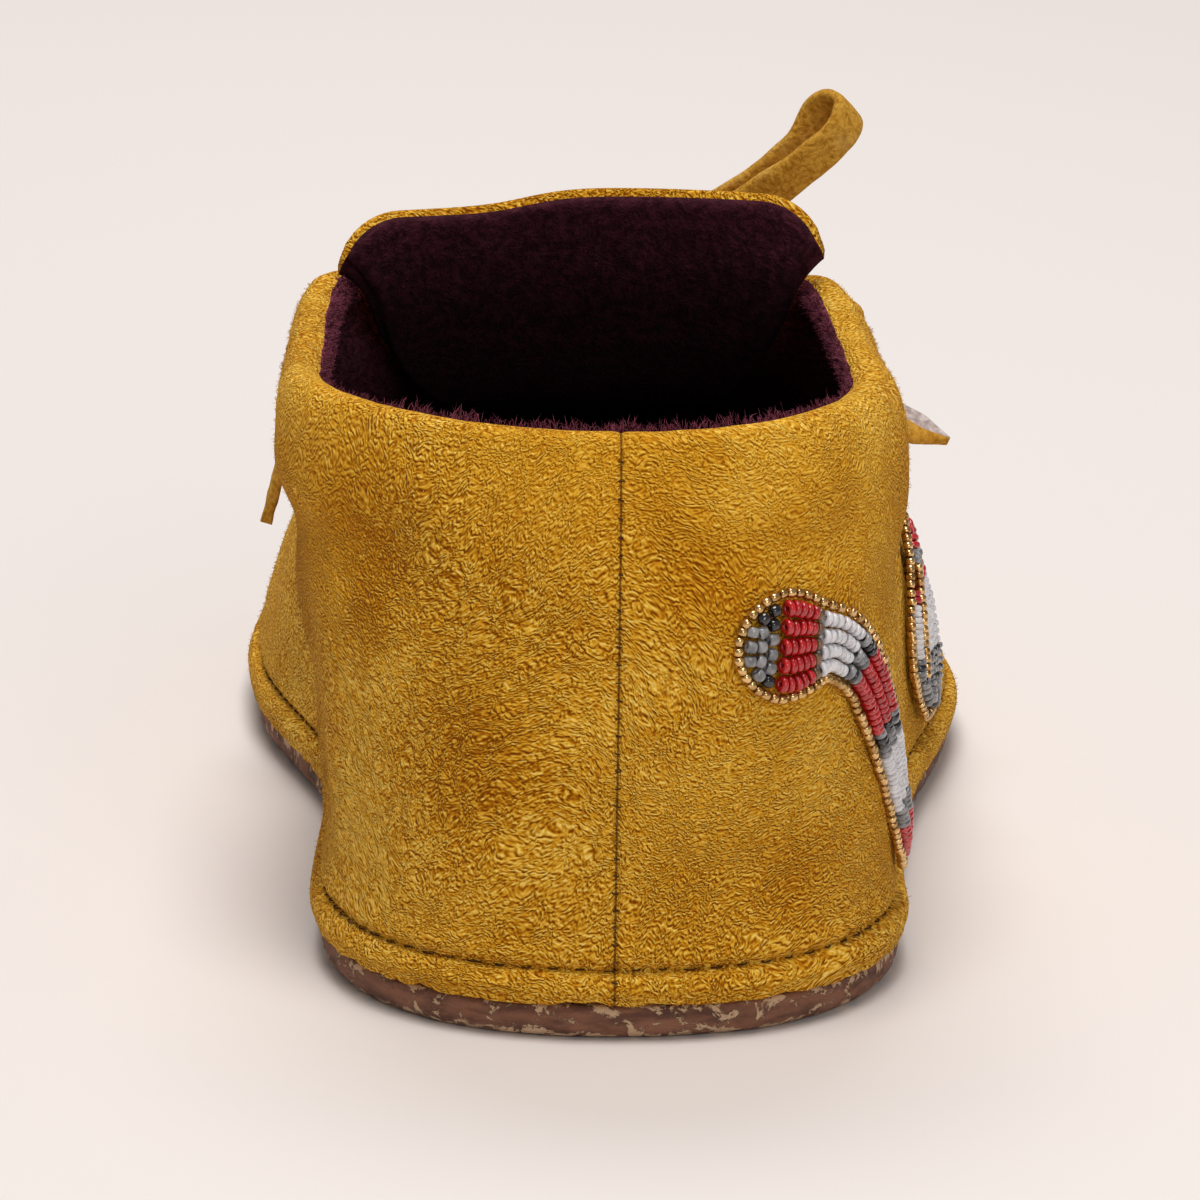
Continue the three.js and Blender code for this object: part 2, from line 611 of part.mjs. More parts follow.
function tongueGeometry() {
  const rises = steps(TONGUE_STEPS, 0, 1);
  const acrosses = steps(TONGUE_ACROSS, -1, 1);
  const front = rises.map((rise) => acrosses.map((across) => tonguePoint(rise, across)));
  const back = rises.map((rise) =>
    acrosses.map((across) => {
      const low = tonguePoint(Math.max(rise - 0.02, 0), across);
      const climb = tonguePoint(Math.min(rise + 0.02, 1), across).sub(low);
      const inward = tonguePoint(rise, Math.max(across - 0.02, -1));
      const wide = tonguePoint(rise, Math.min(across + 0.02, 1)).sub(inward);
      return tonguePoint(rise, across).addScaledVector(climb.cross(wide).normalize(), -TONGUE_THICKNESS);
    }),
  );
  const surface = new Surface();
  for (let row = 0; row < TONGUE_STEPS; row += 1) {
    surface.band(front[row], front[row + 1]);
    surface.band(back[row + 1], back[row]);
  }
  const rim = (grid) => [
    ...grid[0].slice(0, -1),
    ...grid.slice(0, -1).map((row) => row[TONGUE_ACROSS]),
    ...grid[TONGUE_STEPS].slice(1).reverse(),
    ...grid.slice(1).map((row) => row[0]).reverse(),
  ];
  surface.band(rim(back), rim(front), true);
  return surface.geometry();
}

// A leaf's plan on the wall: its axis, its rounded ends, and a point at a distance along and beside it.
function leafPlan(leaf) {
  const axis = tableCurves(leaf.rows, "way", "both", { girth: 1, height: 1, half: 1 });
  const length = leaf.rows.slice(1).reduce((sum, row, i) => {
    return sum + Math.hypot(row.girth - leaf.rows[i].girth, row.height - leaf.rows[i].height);
  }, 0);
  const rounding = (distance, radius) => {
    const short = Math.max(0, 1 - distance / radius);
    return Math.sqrt(Math.max(0, 1 - short * short));
  };
  const half = (distance) => {
    const ends = rounding(distance, leaf.startRound) * rounding(length - distance, leaf.endRound);
    return axis.half(distance / length) * ends;
  };
  const point = (distance, beside, out) => {
    const way = THREE.MathUtils.clamp(distance / length, 0, 1);
    const ahead = Math.min(way + 0.02, 1);
    const behind = Math.max(way - 0.02, 0);
    const run = axis.girth(ahead) - axis.girth(behind);
    const climb = axis.height(ahead) - axis.height(behind);
    const onward = new THREE.Vector2(run, climb).normalize();
    const beyond = distance - way * length;
    const girth = axis.girth(way) + beyond * onward.x - beside * onward.y;
    const height = axis.height(way) + beyond * onward.y + beside * onward.x;
    return skinPoint(girth, shareAtHeight(girth, height), out);
  };
  // Distances along the axis, closer together at the two rounded ends
  const stations = (count) => steps(count, 0, Math.PI).map((angle) => (length * (1 - Math.cos(angle))) / 2);
  return { half, point, stations };
}

// Field of beads: a thin slab that follows the wall, rounded at both ends.
function beadFieldGeometry(leaf) {
  const plan = leafPlan(leaf);
  const row = (distance, out) => {
    const half = plan.half(distance);
    return steps(LEAF_ACROSS, -half, half).map((beside) => plan.point(distance, beside, out));
  };
  const grid = (out) => plan.stations(LEAF_STEPS).map((distance) => row(distance, out));
  const top = grid(BEAD_STANDOFF + BEAD_RISE);
  const foot = grid(BEAD_STANDOFF);
  const surface = new Surface();
  for (let row = 0; row < LEAF_STEPS; row += 1) {
    surface.band(top[row], top[row + 1]);
    surface.band(foot[row + 1], foot[row]);
    for (const edge of [0, LEAF_ACROSS]) {
      const wall = [foot[row][edge], foot[row + 1][edge], top[row + 1][edge], top[row][edge]];
      surface.quad(...(edge ? wall : wall.reverse()));
    }
  }
  return surface.geometry();
}

// Closed string of edging beads round a field, as one tube that lies on the wall.
function beadEdgeGeometry(leaf) {
  const plan = leafPlan(leaf);
  const stations = plan.stations(LEAF_STEPS);
  const border = [
    ...stations.slice(0, -1).map((distance) => new THREE.Vector2(distance, plan.half(distance))),
    ...stations.slice(1).reverse().map((distance) => new THREE.Vector2(distance, -plan.half(distance))),
  ];
  const path = border.map((spot, i) => {
    const run = border[(i + 1) % border.length].clone().sub(border.at(i - 1)).normalize();
    return spot.clone().add(new THREE.Vector2(-run.y, run.x).multiplyScalar(EDGE_BEAD_RADIUS + 2 * GAP));
  });
  const lift = BEAD_STANDOFF + EDGE_BEAD_RADIUS;
  const centre = path.map((spot) => plan.point(spot.x, spot.y, lift));
  const rings = centre.map((middle, i) => {
    const onward = centre[(i + 1) % centre.length].clone().sub(centre.at(i - 1)).normalize();
    const outward = plan.point(path[i].x, path[i].y, lift + 1).sub(middle);
    const across = onward.clone().cross(outward).normalize();
    const up = across.clone().cross(onward);
    return steps(EDGE_SIDES, 0, 2 * Math.PI).slice(0, -1).map((angle) => {
      const wide = EDGE_BEAD_RADIUS * Math.cos(angle);
      const high = EDGE_BEAD_RADIUS * Math.sin(angle);
      return middle.clone().addScaledVector(across, wide).addScaledVector(up, high);
    });
  });
  const surface = new Surface();
  rings.forEach((ring, i) => surface.band(ring, rings[(i + 1) % rings.length], true));
  return surface.geometry();
}

// Flat thong along a route, with rounded edges and square ends.
function thongGeometry(route) {
  const spots = route.map(({ at }) => new THREE.Vector3(...at));
  const path = new THREE.CatmullRomCurve3(spots, false, "centripetal");
  const faces = new THREE.CatmullRomCurve3(route.map(({ face }) => new THREE.Vector3(...face)));
  const count = Math.ceil(path.getLength() / THONG_STEP) * 2;
  const wide = THONG_WIDTH / 2;
  const thick = THONG_THICKNESS / 2;
  const outline = [
    [wide, thick / 2], [0.8 * wide, thick], [-0.8 * wide, thick], [-wide, thick / 2],
    [-wide, -thick / 2], [-0.8 * wide, -thick], [0.8 * wide, -thick], [wide, -thick / 2],
  ];
  const rings = steps(count, 0, 1).map((t) => {
    const middle = path.getPoint(t);
    const onward = path.getTangent(t);
    const across = onward.clone().cross(faces.getPoint(t)).normalize();
    const up = across.clone().cross(onward);
    return outline.map(([x, y]) => middle.clone().addScaledVector(across, x).addScaledVector(up, y));
  });
  const surface = new Surface();
  rings.slice(1).forEach((ring, i) => surface.band(rings[i], ring, true));
  surface.cap([...rings[0]].reverse(), path.getPoint(0));
  surface.cap(rings.at(-1), path.getPoint(1));
  return surface.geometry();
}

function knotGeometry() {
  const lump = new THREE.SphereGeometry(0.5, 12, 8);
  lump.scale(...KNOT.size);
  lump.translate(...KNOT.at);
  return lump;
}

const suede = () => new THREE.MeshStandardMaterial({ color: 0xb8862b, roughness: 0.95, metalness: 0 });
const rubber = () => new THREE.MeshStandardMaterial({ color: 0x6d4a3c, roughness: 0.8, metalness: 0 });
const wool = () => new THREE.MeshStandardMaterial({ color: 0x3a1730, roughness: 1, metalness: 0 });
const glassBeads = () => new THREE.MeshStandardMaterial({ color: 0xa8343a, roughness: 0.25, metalness: 0 });
const goldBeads = () => new THREE.MeshStandardMaterial({ color: 0xb28a45, roughness: 0.3, metalness: 0.9 });

const shoe = new THREE.Group();

function addPiece(name, geometry, material) {
  const piece = new THREE.Mesh(geometry, material);
  piece.name = name;
  shoe.add(piece);
  return piece;
}

const holes = solidOf(laceHole(1)).add(solidOf(laceHole(-1)));
const upper = addPiece("upper", geometryOf(solidOf(upperGeometry()).subtract(holes)), suede());
const outsole = addPiece("outsole", outsoleGeometry(), rubber());
addPiece("insole", insoleGeometry(), wool());
addPiece("tongue", tongueGeometry(), suede());
for (const leaf of LEAVES) {
  addPiece(`bead_field_${leaf.name}`, beadFieldGeometry(leaf), glassBeads());
  addPiece(`bead_edge_${leaf.name}`, beadEdgeGeometry(leaf), goldBeads());
}
addPiece("lace_bar", thongGeometry(LACE_BAR), suede());
addPiece("lace_knot", knotGeometry(), suede());
addPiece("lace_loop_outer", thongGeometry(LACE_LOOP_OUTER), suede());
addPiece("lace_loop_inner", thongGeometry(LACE_LOOP_INNER), suede());
addPiece("lace_end_outer", thongGeometry(LACE_END_OUTER), suede());
addPiece("lace_end_inner", thongGeometry(LACE_END_INNER), suede());

// The origin lies on the floor under the middle of the shoe's box.
const box = new THREE.Box3().expandByObject(upper).expandByObject(outsole);
const middle = box.getCenter(new THREE.Vector3());
shoe.children.forEach((piece) => piece.position.set(-middle.x, -middle.y, -box.min.z));

export default shoe;
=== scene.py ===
import math
import bpy
import numpy as np
from mathutils import Matrix, Vector, noise


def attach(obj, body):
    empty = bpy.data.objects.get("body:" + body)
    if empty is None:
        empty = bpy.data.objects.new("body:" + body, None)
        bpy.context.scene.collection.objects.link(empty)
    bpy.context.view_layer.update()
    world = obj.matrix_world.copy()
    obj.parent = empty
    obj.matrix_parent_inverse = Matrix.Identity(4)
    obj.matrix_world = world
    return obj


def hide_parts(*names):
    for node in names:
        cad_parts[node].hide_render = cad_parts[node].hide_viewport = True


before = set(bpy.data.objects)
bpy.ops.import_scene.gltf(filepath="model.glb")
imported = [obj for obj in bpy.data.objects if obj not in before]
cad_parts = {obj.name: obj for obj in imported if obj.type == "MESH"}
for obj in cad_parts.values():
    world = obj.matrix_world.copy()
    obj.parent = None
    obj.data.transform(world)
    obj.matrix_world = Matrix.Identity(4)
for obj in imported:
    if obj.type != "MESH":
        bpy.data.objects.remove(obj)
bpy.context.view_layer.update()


# The view: the shoe from behind, a little above and from the inner side, near enough that its bow,
# collar and heel fill the frame. Sizes are in millimetres from the back of the heel, on the floor,
# and the shoe's own frame has its origin under the middle of its box.
MM = 0.001
LAST_TO_FRAME = np.array((-2.577, -131.354, 0.0))
CAMERA_SPOT = np.array((-28.5, -851.0, 274.5))
CAMERA_YAW = math.radians(1.5)
CAMERA_PITCH = math.radians(13.59)
CAMERA_AIM = (0.0549, -0.0082)
CAMERA_LENS, CAMERA_SENSOR = 198.0, 36.0


def in_frame(points):
    return (np.asarray(points, float) + LAST_TO_FRAME) * MM


view_right = Vector((math.cos(CAMERA_YAW), math.sin(CAMERA_YAW), 0))
view_level = Vector((-math.sin(CAMERA_YAW), math.cos(CAMERA_YAW), 0))
view_ahead = view_level * math.cos(CAMERA_PITCH) - Vector((0, 0, math.sin(CAMERA_PITCH)))
view_up = view_right.cross(view_ahead)
aim = (view_ahead + view_right * CAMERA_AIM[0] + view_up * CAMERA_AIM[1]).normalized()
across = (view_right - aim * view_right.dot(aim)).normalized()
upward = across.cross(aim)
camera = bpy.data.objects.new("camera", bpy.data.cameras.new("camera"))
bpy.context.scene.collection.objects.link(camera)
camera.data.lens, camera.data.sensor_width = CAMERA_LENS, CAMERA_SENSOR
turn = Matrix((across, upward, -aim)).transposed().to_4x4()
camera.matrix_world = Matrix.Translation(Vector(in_frame(CAMERA_SPOT))) @ turn
bpy.context.scene.camera = camera


# Sole: one sheet of brown rubber, cut to the foot's outline, glued under the hide and trimmed by
# hand, so that its edge is scuffed and keeps pale flakes of glue. The toe lifts a little.
LENGTH, BALL_WIDTH = 263.0, 110.0
SOLE_THICKNESS, SOLE_GAP = 5.0, 0.3
TOE_SPRING, TOE_SPRING_START = 5.0, 0.7 * LENGTH
FOOT_ALONG = (0.175, 0.365, 0.62, 0.685, 0.806)
FOOT_OUTER = (0.376, 0.417, 0.523, 0.514, 0.441)
FOOT_INNER = (0.365, 0.351, 0.468, 0.475, 0.45)
FOOT_CENTRE = (0.0, 0.0, -0.01, -0.025, -0.05)
HEEL_SQUARENESS, HEEL_GIRTH, TOE_CAP_GIRTH = 2.3, 66.0, 80.0
HEEL_ALONG, TOE_ALONG = FOOT_ALONG[0] * LENGTH, FOOT_ALONG[-1] * LENGTH
TOE_START = HEEL_GIRTH + TOE_ALONG - HEEL_ALONG
TOE_GIRTH = TOE_START + TOE_CAP_GIRTH
THROAT_ALONG = 0.479 * LENGTH
THROAT_GIRTH = HEEL_GIRTH + THROAT_ALONG - HEEL_ALONG
# Rows of the sole's trimmed edge, from the tread up: inset and height
SOLE_EDGE = ((3.0, 0.0), (2.0, 0.12), (1.2, 0.5), (0.55, 1.1), (0.15, 1.7), (0.0, 2.4), (0.0, 3.2),
             (0.05, 3.9), (0.1, 4.5), (0.35, 4.9), (0.7, 5.0))
TREAD_INSET, SOLE_TOP_INSET = 3.0, 1.0
MOST_FLAKE = 0.1
NEAR_SEAM, SEAM_STEP = 2.0, 0.25


def through(keys, values, ends="level"):
    """A smooth curve through a column of sizes, without overshoot; ends may be level, last or both."""
    keys, values = np.array(keys, float), np.array(values, float)
    width = np.diff(keys)
    slope = np.diff(values) / width
    lean = np.zeros(len(keys))
    for i in range(1, len(keys) - 1):
        if slope[i - 1] * slope[i] > 0:
            before, after = 2 * width[i] + width[i - 1], width[i] + 2 * width[i - 1]
            lean[i] = (before + after) / (before / slope[i - 1] + after / slope[i])
    if ends == "both":
        lean[0] = 1.5 * slope[0] - 0.5 * lean[1]
    if ends != "level":
        lean[-1] = 1.5 * slope[-1] - 0.5 * lean[-2]

    def curve(at):
        i = np.clip(np.searchsorted(keys, at, side="right") - 1, 0, len(width) - 1)
        t = np.clip((at - keys[i]) / width[i], 0, 1)
        rest = 1 - t
        bend = width[i] * t * rest * (lean[i] * rest - lean[i + 1] * t)
        return values[i] * rest * rest * (1 + 2 * t) + values[i + 1] * t * t * (3 - 2 * t) + bend

    return curve


foot_outer = through(FOOT_ALONG, FOOT_OUTER, "last")
foot_inner = through(FOOT_ALONG, FOOT_INNER, "last")
foot_centre = through(FOOT_ALONG, FOOT_CENTRE, "last")


def spring(along):
    return TOE_SPRING * np.maximum(0, (along - TOE_SPRING_START) / (LENGTH - TOE_SPRING_START)) ** 2


def side_reach(side, along):
    share = along / LENGTH
    middle = foot_centre(share)
    return BALL_WIDTH * np.where(side > 0, foot_outer(share) - middle, foot_inner(share) + middle)


def station(girth):
    """The upright half-plane at a distance round the sole from the back seam: centre, direction, reach."""
    girth = np.asarray(girth, float)
    past = np.abs(girth) > TOE_GIRTH
    side = np.where((girth < 0) != past, -1.0, 1.0)
    way = np.where(past, 2 * TOE_GIRTH - np.abs(girth), np.abs(girth))
    along = HEEL_ALONG + np.clip(way - HEEL_GIRTH, 0, TOE_ALONG - HEEL_ALONG)
    heel_turn = (1 - np.clip(way / HEEL_GIRTH, 0, 1)) * math.pi / 2
    sideways = np.cos(heel_turn) / side_reach(side, HEEL_ALONG)
    backward = np.sin(heel_turn) / HEEL_ALONG
    heel_reach = (sideways ** HEEL_SQUARENESS + backward ** HEEL_SQUARENESS) ** (-1 / HEEL_SQUARENESS)
    share = np.clip((way - TOE_START) / (TOE_GIRTH - TOE_START), 0, 1)
    toe_turn = share * math.pi / 2
    start = side_reach(side, TOE_ALONG)
    leaving = (start - side_reach(side, TOE_ALONG - 1)) * start * math.pi / 2
    rest = 1 - share
    toe_reach = rest * rest * (start * (1 + 2 * share) + leaving * share)
    toe_reach = toe_reach + (LENGTH - TOE_ALONG) * share * share * (3 - 2 * share)
    reach = np.where(way < HEEL_GIRTH, heel_reach, np.where(way > TOE_START, toe_reach, side_reach(side, along)))
    return {
        "x": BALL_WIDTH * foot_centre(along / LENGTH), "y": along, "reach": reach,
        "dir_x": side * np.cos(heel_turn) * np.cos(toe_turn), "dir_y": np.sin(toe_turn) - np.sin(heel_turn),
        "back": np.sin(heel_turn) ** 2, "front": np.sin(toe_turn),
    }


def plan_row(girth, inset, spread, height):
    """A closed row inside the sole's edge, lifted with the toe spring."""
    cut = station(girth)
    out = (cut["reach"] - inset) * spread
    along = cut["y"] + cut["dir_y"] * out
    return np.stack((cut["x"] + cut["dir_x"] * out, along, height + spring(along)), axis=-1)


def unit(vectors):
    return vectors / np.linalg.norm(vectors, axis=-1, keepdims=True)


def lumps(points, size, depth, seed):
    """Soft random lumps of one size, in millimetres, at each point."""
    offset = Vector((seed, seed * 1.7, seed * 0.6))
    heights = [noise.noise(Vector(spot) / size + offset) for spot in points.reshape(-1, 3)]
    return depth * np.array(heights).reshape(points.shape[:-1])


def grid_faces(rows, columns, start=0, closed=False):
    """Quads between rows of points; a closed grid joins its last column to its first."""
    low = np.arange(rows - 1)[:, None] * columns + start
    near = np.arange(columns if closed else columns - 1)[None, :]
    far = (near + 1) % columns
    return np.stack((low + near, low + far, low + columns + far, low + columns + near), axis=-1).reshape(-1, 4)


def make_piece(name, points, faces, finishes, which=None):
    """One mesh piece from points in millimetres, riding on the shoe; which gives each face its finish."""
    mesh = bpy.data.meshes.new(name)
    mesh.from_pydata(in_frame(points).tolist(), [], faces.tolist() if isinstance(faces, np.ndarray) else faces)
    for finish in finishes:
        mesh.materials.append(finish)
    if which is not None:
        mesh.polygons.foreach_set("material_index", np.asarray(which, dtype="int32"))
    mesh.polygons.foreach_set("use_smooth", np.ones(len(mesh.polygons), dtype=bool))
    mesh.update()
    piece = bpy.data.objects.new(name, mesh)
    bpy.context.scene.collection.objects.link(piece)
    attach(piece, "root")
    return piece


ACROSS, ALONG, UP = 0, 1, 2


class Wire:
    """A socket of a material's nodes. Sums on it add Math nodes, and node() adds any other node."""

    def __init__(self, tree, socket=None):
        self.tree, self.socket = tree, socket

    def node(self, kind, settings=None, values=None, out=0):
        made = self.tree.nodes.new(kind)
        for label, setting in (settings or {}).items():
            if label == "stops":
                ramp = made.color_ramp.elements
                while len(ramp) < len(setting):
                    ramp.new(0.5)
                for stop, (place, colour) in zip(ramp, setting):
                    stop.position, stop.color = place, (*colour, 1)
            else:
                setattr(made, label, setting)
        for label, value in (values or {}).items():
            if isinstance(value, Wire):
                self.tree.links.new(value.socket, made.inputs[label])
            else:
                made.inputs[label].default_value = value
        return Wire(self.tree, made.outputs[out])

    def math(self, operation, first, second=0.0):
        return self.node("ShaderNodeMath", {"operation": operation}, {0: first, 1: second})

    def __add__(self, other):
        return self.math("ADD", self, other)

    __radd__ = __add__

    def __sub__(self, other):
        return self.math("SUBTRACT", self, other)

    def __rsub__(self, other):
        return self.math("SUBTRACT", other, self)

    def __mul__(self, other):
        return self.math("MULTIPLY", self, other)

    __rmul__ = __mul__

    def __abs__(self):
        return self.math("ABSOLUTE", self)

    def band(self, low, high):
        """0 below low, 1 above high, and smooth between."""
        return self.node("ShaderNodeMapRange", {"interpolation_type": "SMOOTHSTEP"},
                         {"Value": self, "From Min": low, "From Max": high})

    def blend(self, first, second):
        """A colour that goes from first to second as this value goes from 0 to 1."""
        pick = lambda colour: colour if isinstance(colour, Wire) else (*colour, 1)
        return self.node("ShaderNodeMix", {"data_type": "RGBA"}, {0: self, 6: pick(first), 7: pick(second)}, out=2)

    def shaken(self, amount, scale):
        """These coordinates, pushed about by a soft noise."""
        push = self.speckle(scale, 0, out=1)
        level = self.node("ShaderNodeVectorMath", {"operation": "SUBTRACT"}, {0: push, 1: (0.5, 0.5, 0.5)})
        step = self.node("ShaderNodeVectorMath", {"operation": "SCALE"}, {0: level, "Scale": amount})
        return self.node("ShaderNodeVectorMath", {"operation": "ADD"}, {0: self, 1: step})

    def moved(self, x, y, z):
        return self.node("ShaderNodeVectorMath", {"operation": "ADD"}, {0: self, 1: (x, y, z)})

    def stretched(self, x, y, z):
        return self.node("ShaderNodeVectorMath", {"operation": "MULTIPLY"}, {0: self, 1: (x, y, z)})

    def axis(self, which):
        """One of these coordinates, in metres."""
        return self.node("ShaderNodeSeparateXYZ", None, {0: self}, which)

    def speckle(self, scale, detail, rough=0.5, out=0):
        """Noise at a number of specks to the metre, on these coordinates."""
        return self.node("ShaderNodeTexNoise", None,
                         {"Vector": self, "Scale": scale, "Detail": detail, "Roughness": rough}, out)

    def near(self, spot, radius):
        """1 at a spot of the shoe, in millimetres of the last, falling to 0 at a radius."""
        far = self.node("ShaderNodeVectorMath", {"operation": "DISTANCE"}, {0: self, 1: tuple(in_frame(spot))}, out=1)
        return 1 - far.band(0.15 * radius * MM, radius * MM)

    def patched(self, patches):
        """The sum of listed patches, with a spot, a radius and a share for each."""
        total = 0.0
        for spot, radius, share in patches:
            total = share * self.near(spot, radius) + total
        return total


def finish_of(name, colour, roughness, height=None, depth=0.0, strength=1.0, fixed=None):
    """A material from a colour, a roughness and a bump height; fixed holds the sockets that don't vary.

    A colour recipe may give its own bump height as a second value.
    """
    material = bpy.data.materials.new(name)
    material.use_nodes = True
    shader = material.node_tree.nodes["Principled BSDF"]
    for label, value in (fixed or {}).items():
        shader.inputs[label].default_value = value
    here = Wire(material.node_tree, material.node_tree.nodes.new("ShaderNodeTexCoord").outputs["Object"])
    for label, recipe in (("Base Color", colour), ("Roughness", roughness)):
        value = recipe(here) if callable(recipe) else recipe
        if isinstance(value, tuple) and isinstance(value[0], Wire):
            value, relief = value
            height = lambda _: relief
        if isinstance(value, Wire):
            material.node_tree.links.new(value.socket, shader.inputs[label])
        else:
            shader.inputs[label].default_value = value
    if height:
        bump = here.node("ShaderNodeBump", None, {"Height": height(here), "Distance": depth, "Strength": strength})
        material.node_tree.links.new(bump.socket, shader.inputs["Normal"])
    return material


def speckled(scale, detail, deep, pale, low=0.3, high=0.7):
    """A colour recipe of specks that go from a deep tone to a pale one."""
    return lambda here: here.speckle(scale, detail).band(low, high).blend(deep, pale)


RUBBER_BROWN, RUBBER_DARK, GLUE_TAN = (0.25, 0.11, 0.065), (0.10, 0.043, 0.028), (0.55, 0.37, 0.23)


def rubber_flakes(here):
    """Where glue and scuffed skin show: ragged flakes, thickest under the hide."""
    ragged = here.shaken(0.004, 220).stretched(1, 1, 1.2).speckle(330, 4, 0.72)
    level = here.axis(UP)
    edges = level.band(0.0028, 0.0054) + 0.7 * (1 - level.band(0.0006, 0.0018))
    return (ragged + 0.1 * edges + 0.12 * here.speckle(45, 1)).band(0.625, 0.675)


def rubber_colour(here):
    streaks = here.stretched(1, 1, 3.5).speckle(120, 5, 0.65)
    brown = streaks.band(0.35, 0.66).blend(RUBBER_DARK, RUBBER_BROWN)
    pits = here.speckle(900, 3, 0.6).band(0.6, 0.75)
    return rubber_flakes(here).blend((pits * 0.6).blend(brown, RUBBER_DARK), GLUE_TAN)


def rubber_height(here):
    return here.speckle(650, 5, 0.65) + 0.9 * rubber_flakes(here) + 0.7 * here.stretched(1, 1, 3).speckle(200, 3)


worn_rubber = finish_of("worn_rubber", rubber_colour, lambda here: 0.62 + 0.3 * here.speckle(300, 3),
                        rubber_height, depth=0.0005, strength=0.8, fixed={"Specular IOR Level": 0.3})

# Distances round the sole at which the meshes have their columns, closest together at the back seam
one_side = np.concatenate((
    np.arange(0, NEAR_SEAM, SEAM_STEP), np.linspace(NEAR_SEAM, HEEL_GIRTH, 68)[:-1],
    np.linspace(HEEL_GIRTH, THROAT_GIRTH, 65)[:-1], np.linspace(THROAT_GIRTH, TOE_START, 67)[:-1],
    np.linspace(TOE_START, TOE_GIRTH, 52)))
ring = np.concatenate((one_side, -one_side[-2:0:-1]))
ring_cut = station(ring)

sole_rows = [plan_row(ring, TREAD_INSET, spread, 0.0) for spread in (0.0, 0.5, 0.9)]
for inset, height in SOLE_EDGE:
    row = plan_row(ring, inset, 1.0, height)
    trimmed = lumps(row, 6.0, 0.35, 3.1) + lumps(row, 1.9, 0.22, 5.2)
    worn = np.where(height > 0, np.minimum(trimmed, MOST_FLAKE), 0)
    row[:, 0] += worn * ring_cut["dir_x"]
    row[:, 1] += worn * ring_cut["dir_y"]
    sole_rows.append(row)
sole_rows += [plan_row(ring, SOLE_TOP_INSET, spread, SOLE_THICKNESS) for spread in (0.9, 0.5, 0.0)]
sole = make_piece("sole", np.concatenate(sole_rows), grid_faces(len(sole_rows), len(ring), closed=True), [worn_rubber])
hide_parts("outsole")


# Insole: a thin pad covered with the same plum wool as the lining, laid loose on the sole inside the
# upper. The wool is darkened with painted shade inside the shoe, and painted lighter near the collar.
HIDE_WALL, INSOLE_THICKNESS, INSOLE_GAP = 3.0, 2.5, 0.1
INSOLE_SIDE, INSOLE_ROUND = 1.2, 0.35
WOOL_PLUM, WOOL_DARK, WOOL_LIGHT = (0.24, 0.055, 0.085), (0.03, 0.006, 0.011), (0.34, 0.11, 0.15)
WOOL_SHADED, WOOL_LIT, WOOL_BLACK = (0.07, 0.015, 0.025), (0.85, 0.31, 0.43), (0.008, 0.002, 0.004)


def wool_tufts(here, detail):
    return here.shaken(0.003, 300).speckle(650, detail, 0.6)


def wool_colour(here):
    tufts = wool_tufts(here, 4)
    deep = tufts.band(0.32, 0.55).blend(WOOL_DARK, WOOL_PLUM)
    return (0.8 * tufts.band(0.55, 0.72)).blend(deep, WOOL_LIGHT)


def lining_colour(here):
    """Darkened with painted shade inside the shoe, and painted lighter near the collar, less so towards the front."""
    tufts = wool_tufts(here, 3).band(0.3, 0.66)
    near_collar = here.axis(UP).band(0.062, 0.081) * (1 - 0.85 * here.axis(ALONG).band(-0.075, -0.03))
    return near_collar.blend(tufts.blend(WOOL_DARK, WOOL_SHADED), tufts.blend(WOOL_LIGHT, WOOL_LIT))


def shaded_tongue_colour(here):
    """Painted shade: nearly black low on the tongue, where it lies in the dark of the shoe, and less dark near its top.
    """
    tufts = wool_tufts(here, 3).band(0.36, 0.66)
    near_top = here.axis(UP).band(0.072, 0.096)
    return near_top.blend(tufts.blend(WOOL_BLACK, WOOL_DARK), tufts.blend(WOOL_DARK, WOOL_SHADED))


def wool_height(here):
    return wool_tufts(here, 4) + 0.5 * here.speckle(1800, 3, 0.6)


def wool_of(name, colour):
    fixed = {"Specular IOR Level": 0.08, "Sheen Weight": 0.06, "Sheen Roughness": 0.6,
             "Sheen Tint": (0.6, 0.25, 0.32, 1)}
    return finish_of(name, colour, 1.0, wool_height, depth=0.0012, strength=0.9, fixed=fixed)


# Lit and shaded copies of one plum wool: the rim's wool, its plum painted lighter for light on the rim, the lining with
# painted shade and painted light, and the tongue's wool darkened with painted shade
plum_wool = wool_of("plum_wool", wool_colour)
lining_wool = wool_of("lining_wool", lining_colour)
shaded_tongue_wool = wool_of("shaded_tongue_wool", shaded_tongue_colour)

insole_inset = HIDE_WALL + INSOLE_GAP
insole_low = SOLE_THICKNESS + SOLE_GAP
insole_rows = [plan_row(ring, insole_inset, spread, insole_low) for spread in (0.0, 0.5, 1.0)]
insole_rows += [plan_row(ring, HIDE_WALL, 1.0, insole_low + INSOLE_SIDE)]
for spread in (1.0, 0.985, 0.95, 0.88, 0.78, 0.66, 0.52, 0.36, 0.18, 0.0):
    row = plan_row(ring, insole_inset, spread, insole_low + INSOLE_THICKNESS)
    row[:, 2] += np.where(spread < 1, lumps(row, 5.0, 0.5, 8.0), -INSOLE_ROUND)
    insole_rows.append(row)
insole = make_piece("wool_insole", np.concatenate(insole_rows), grid_faces(len(insole_rows), len(ring), closed=True),
                    [lining_wool])
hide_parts("insole")


# Upper: one hide of golden ochre suede, shaped on the last, sewn up the back and turned out over the
# sole in a stitched hem. It is lined with plum wool, and the collar is a plump roll of hide and wool.
COLLAR_HEIGHT, COLLAR_ROLL = 83.5, 5.5
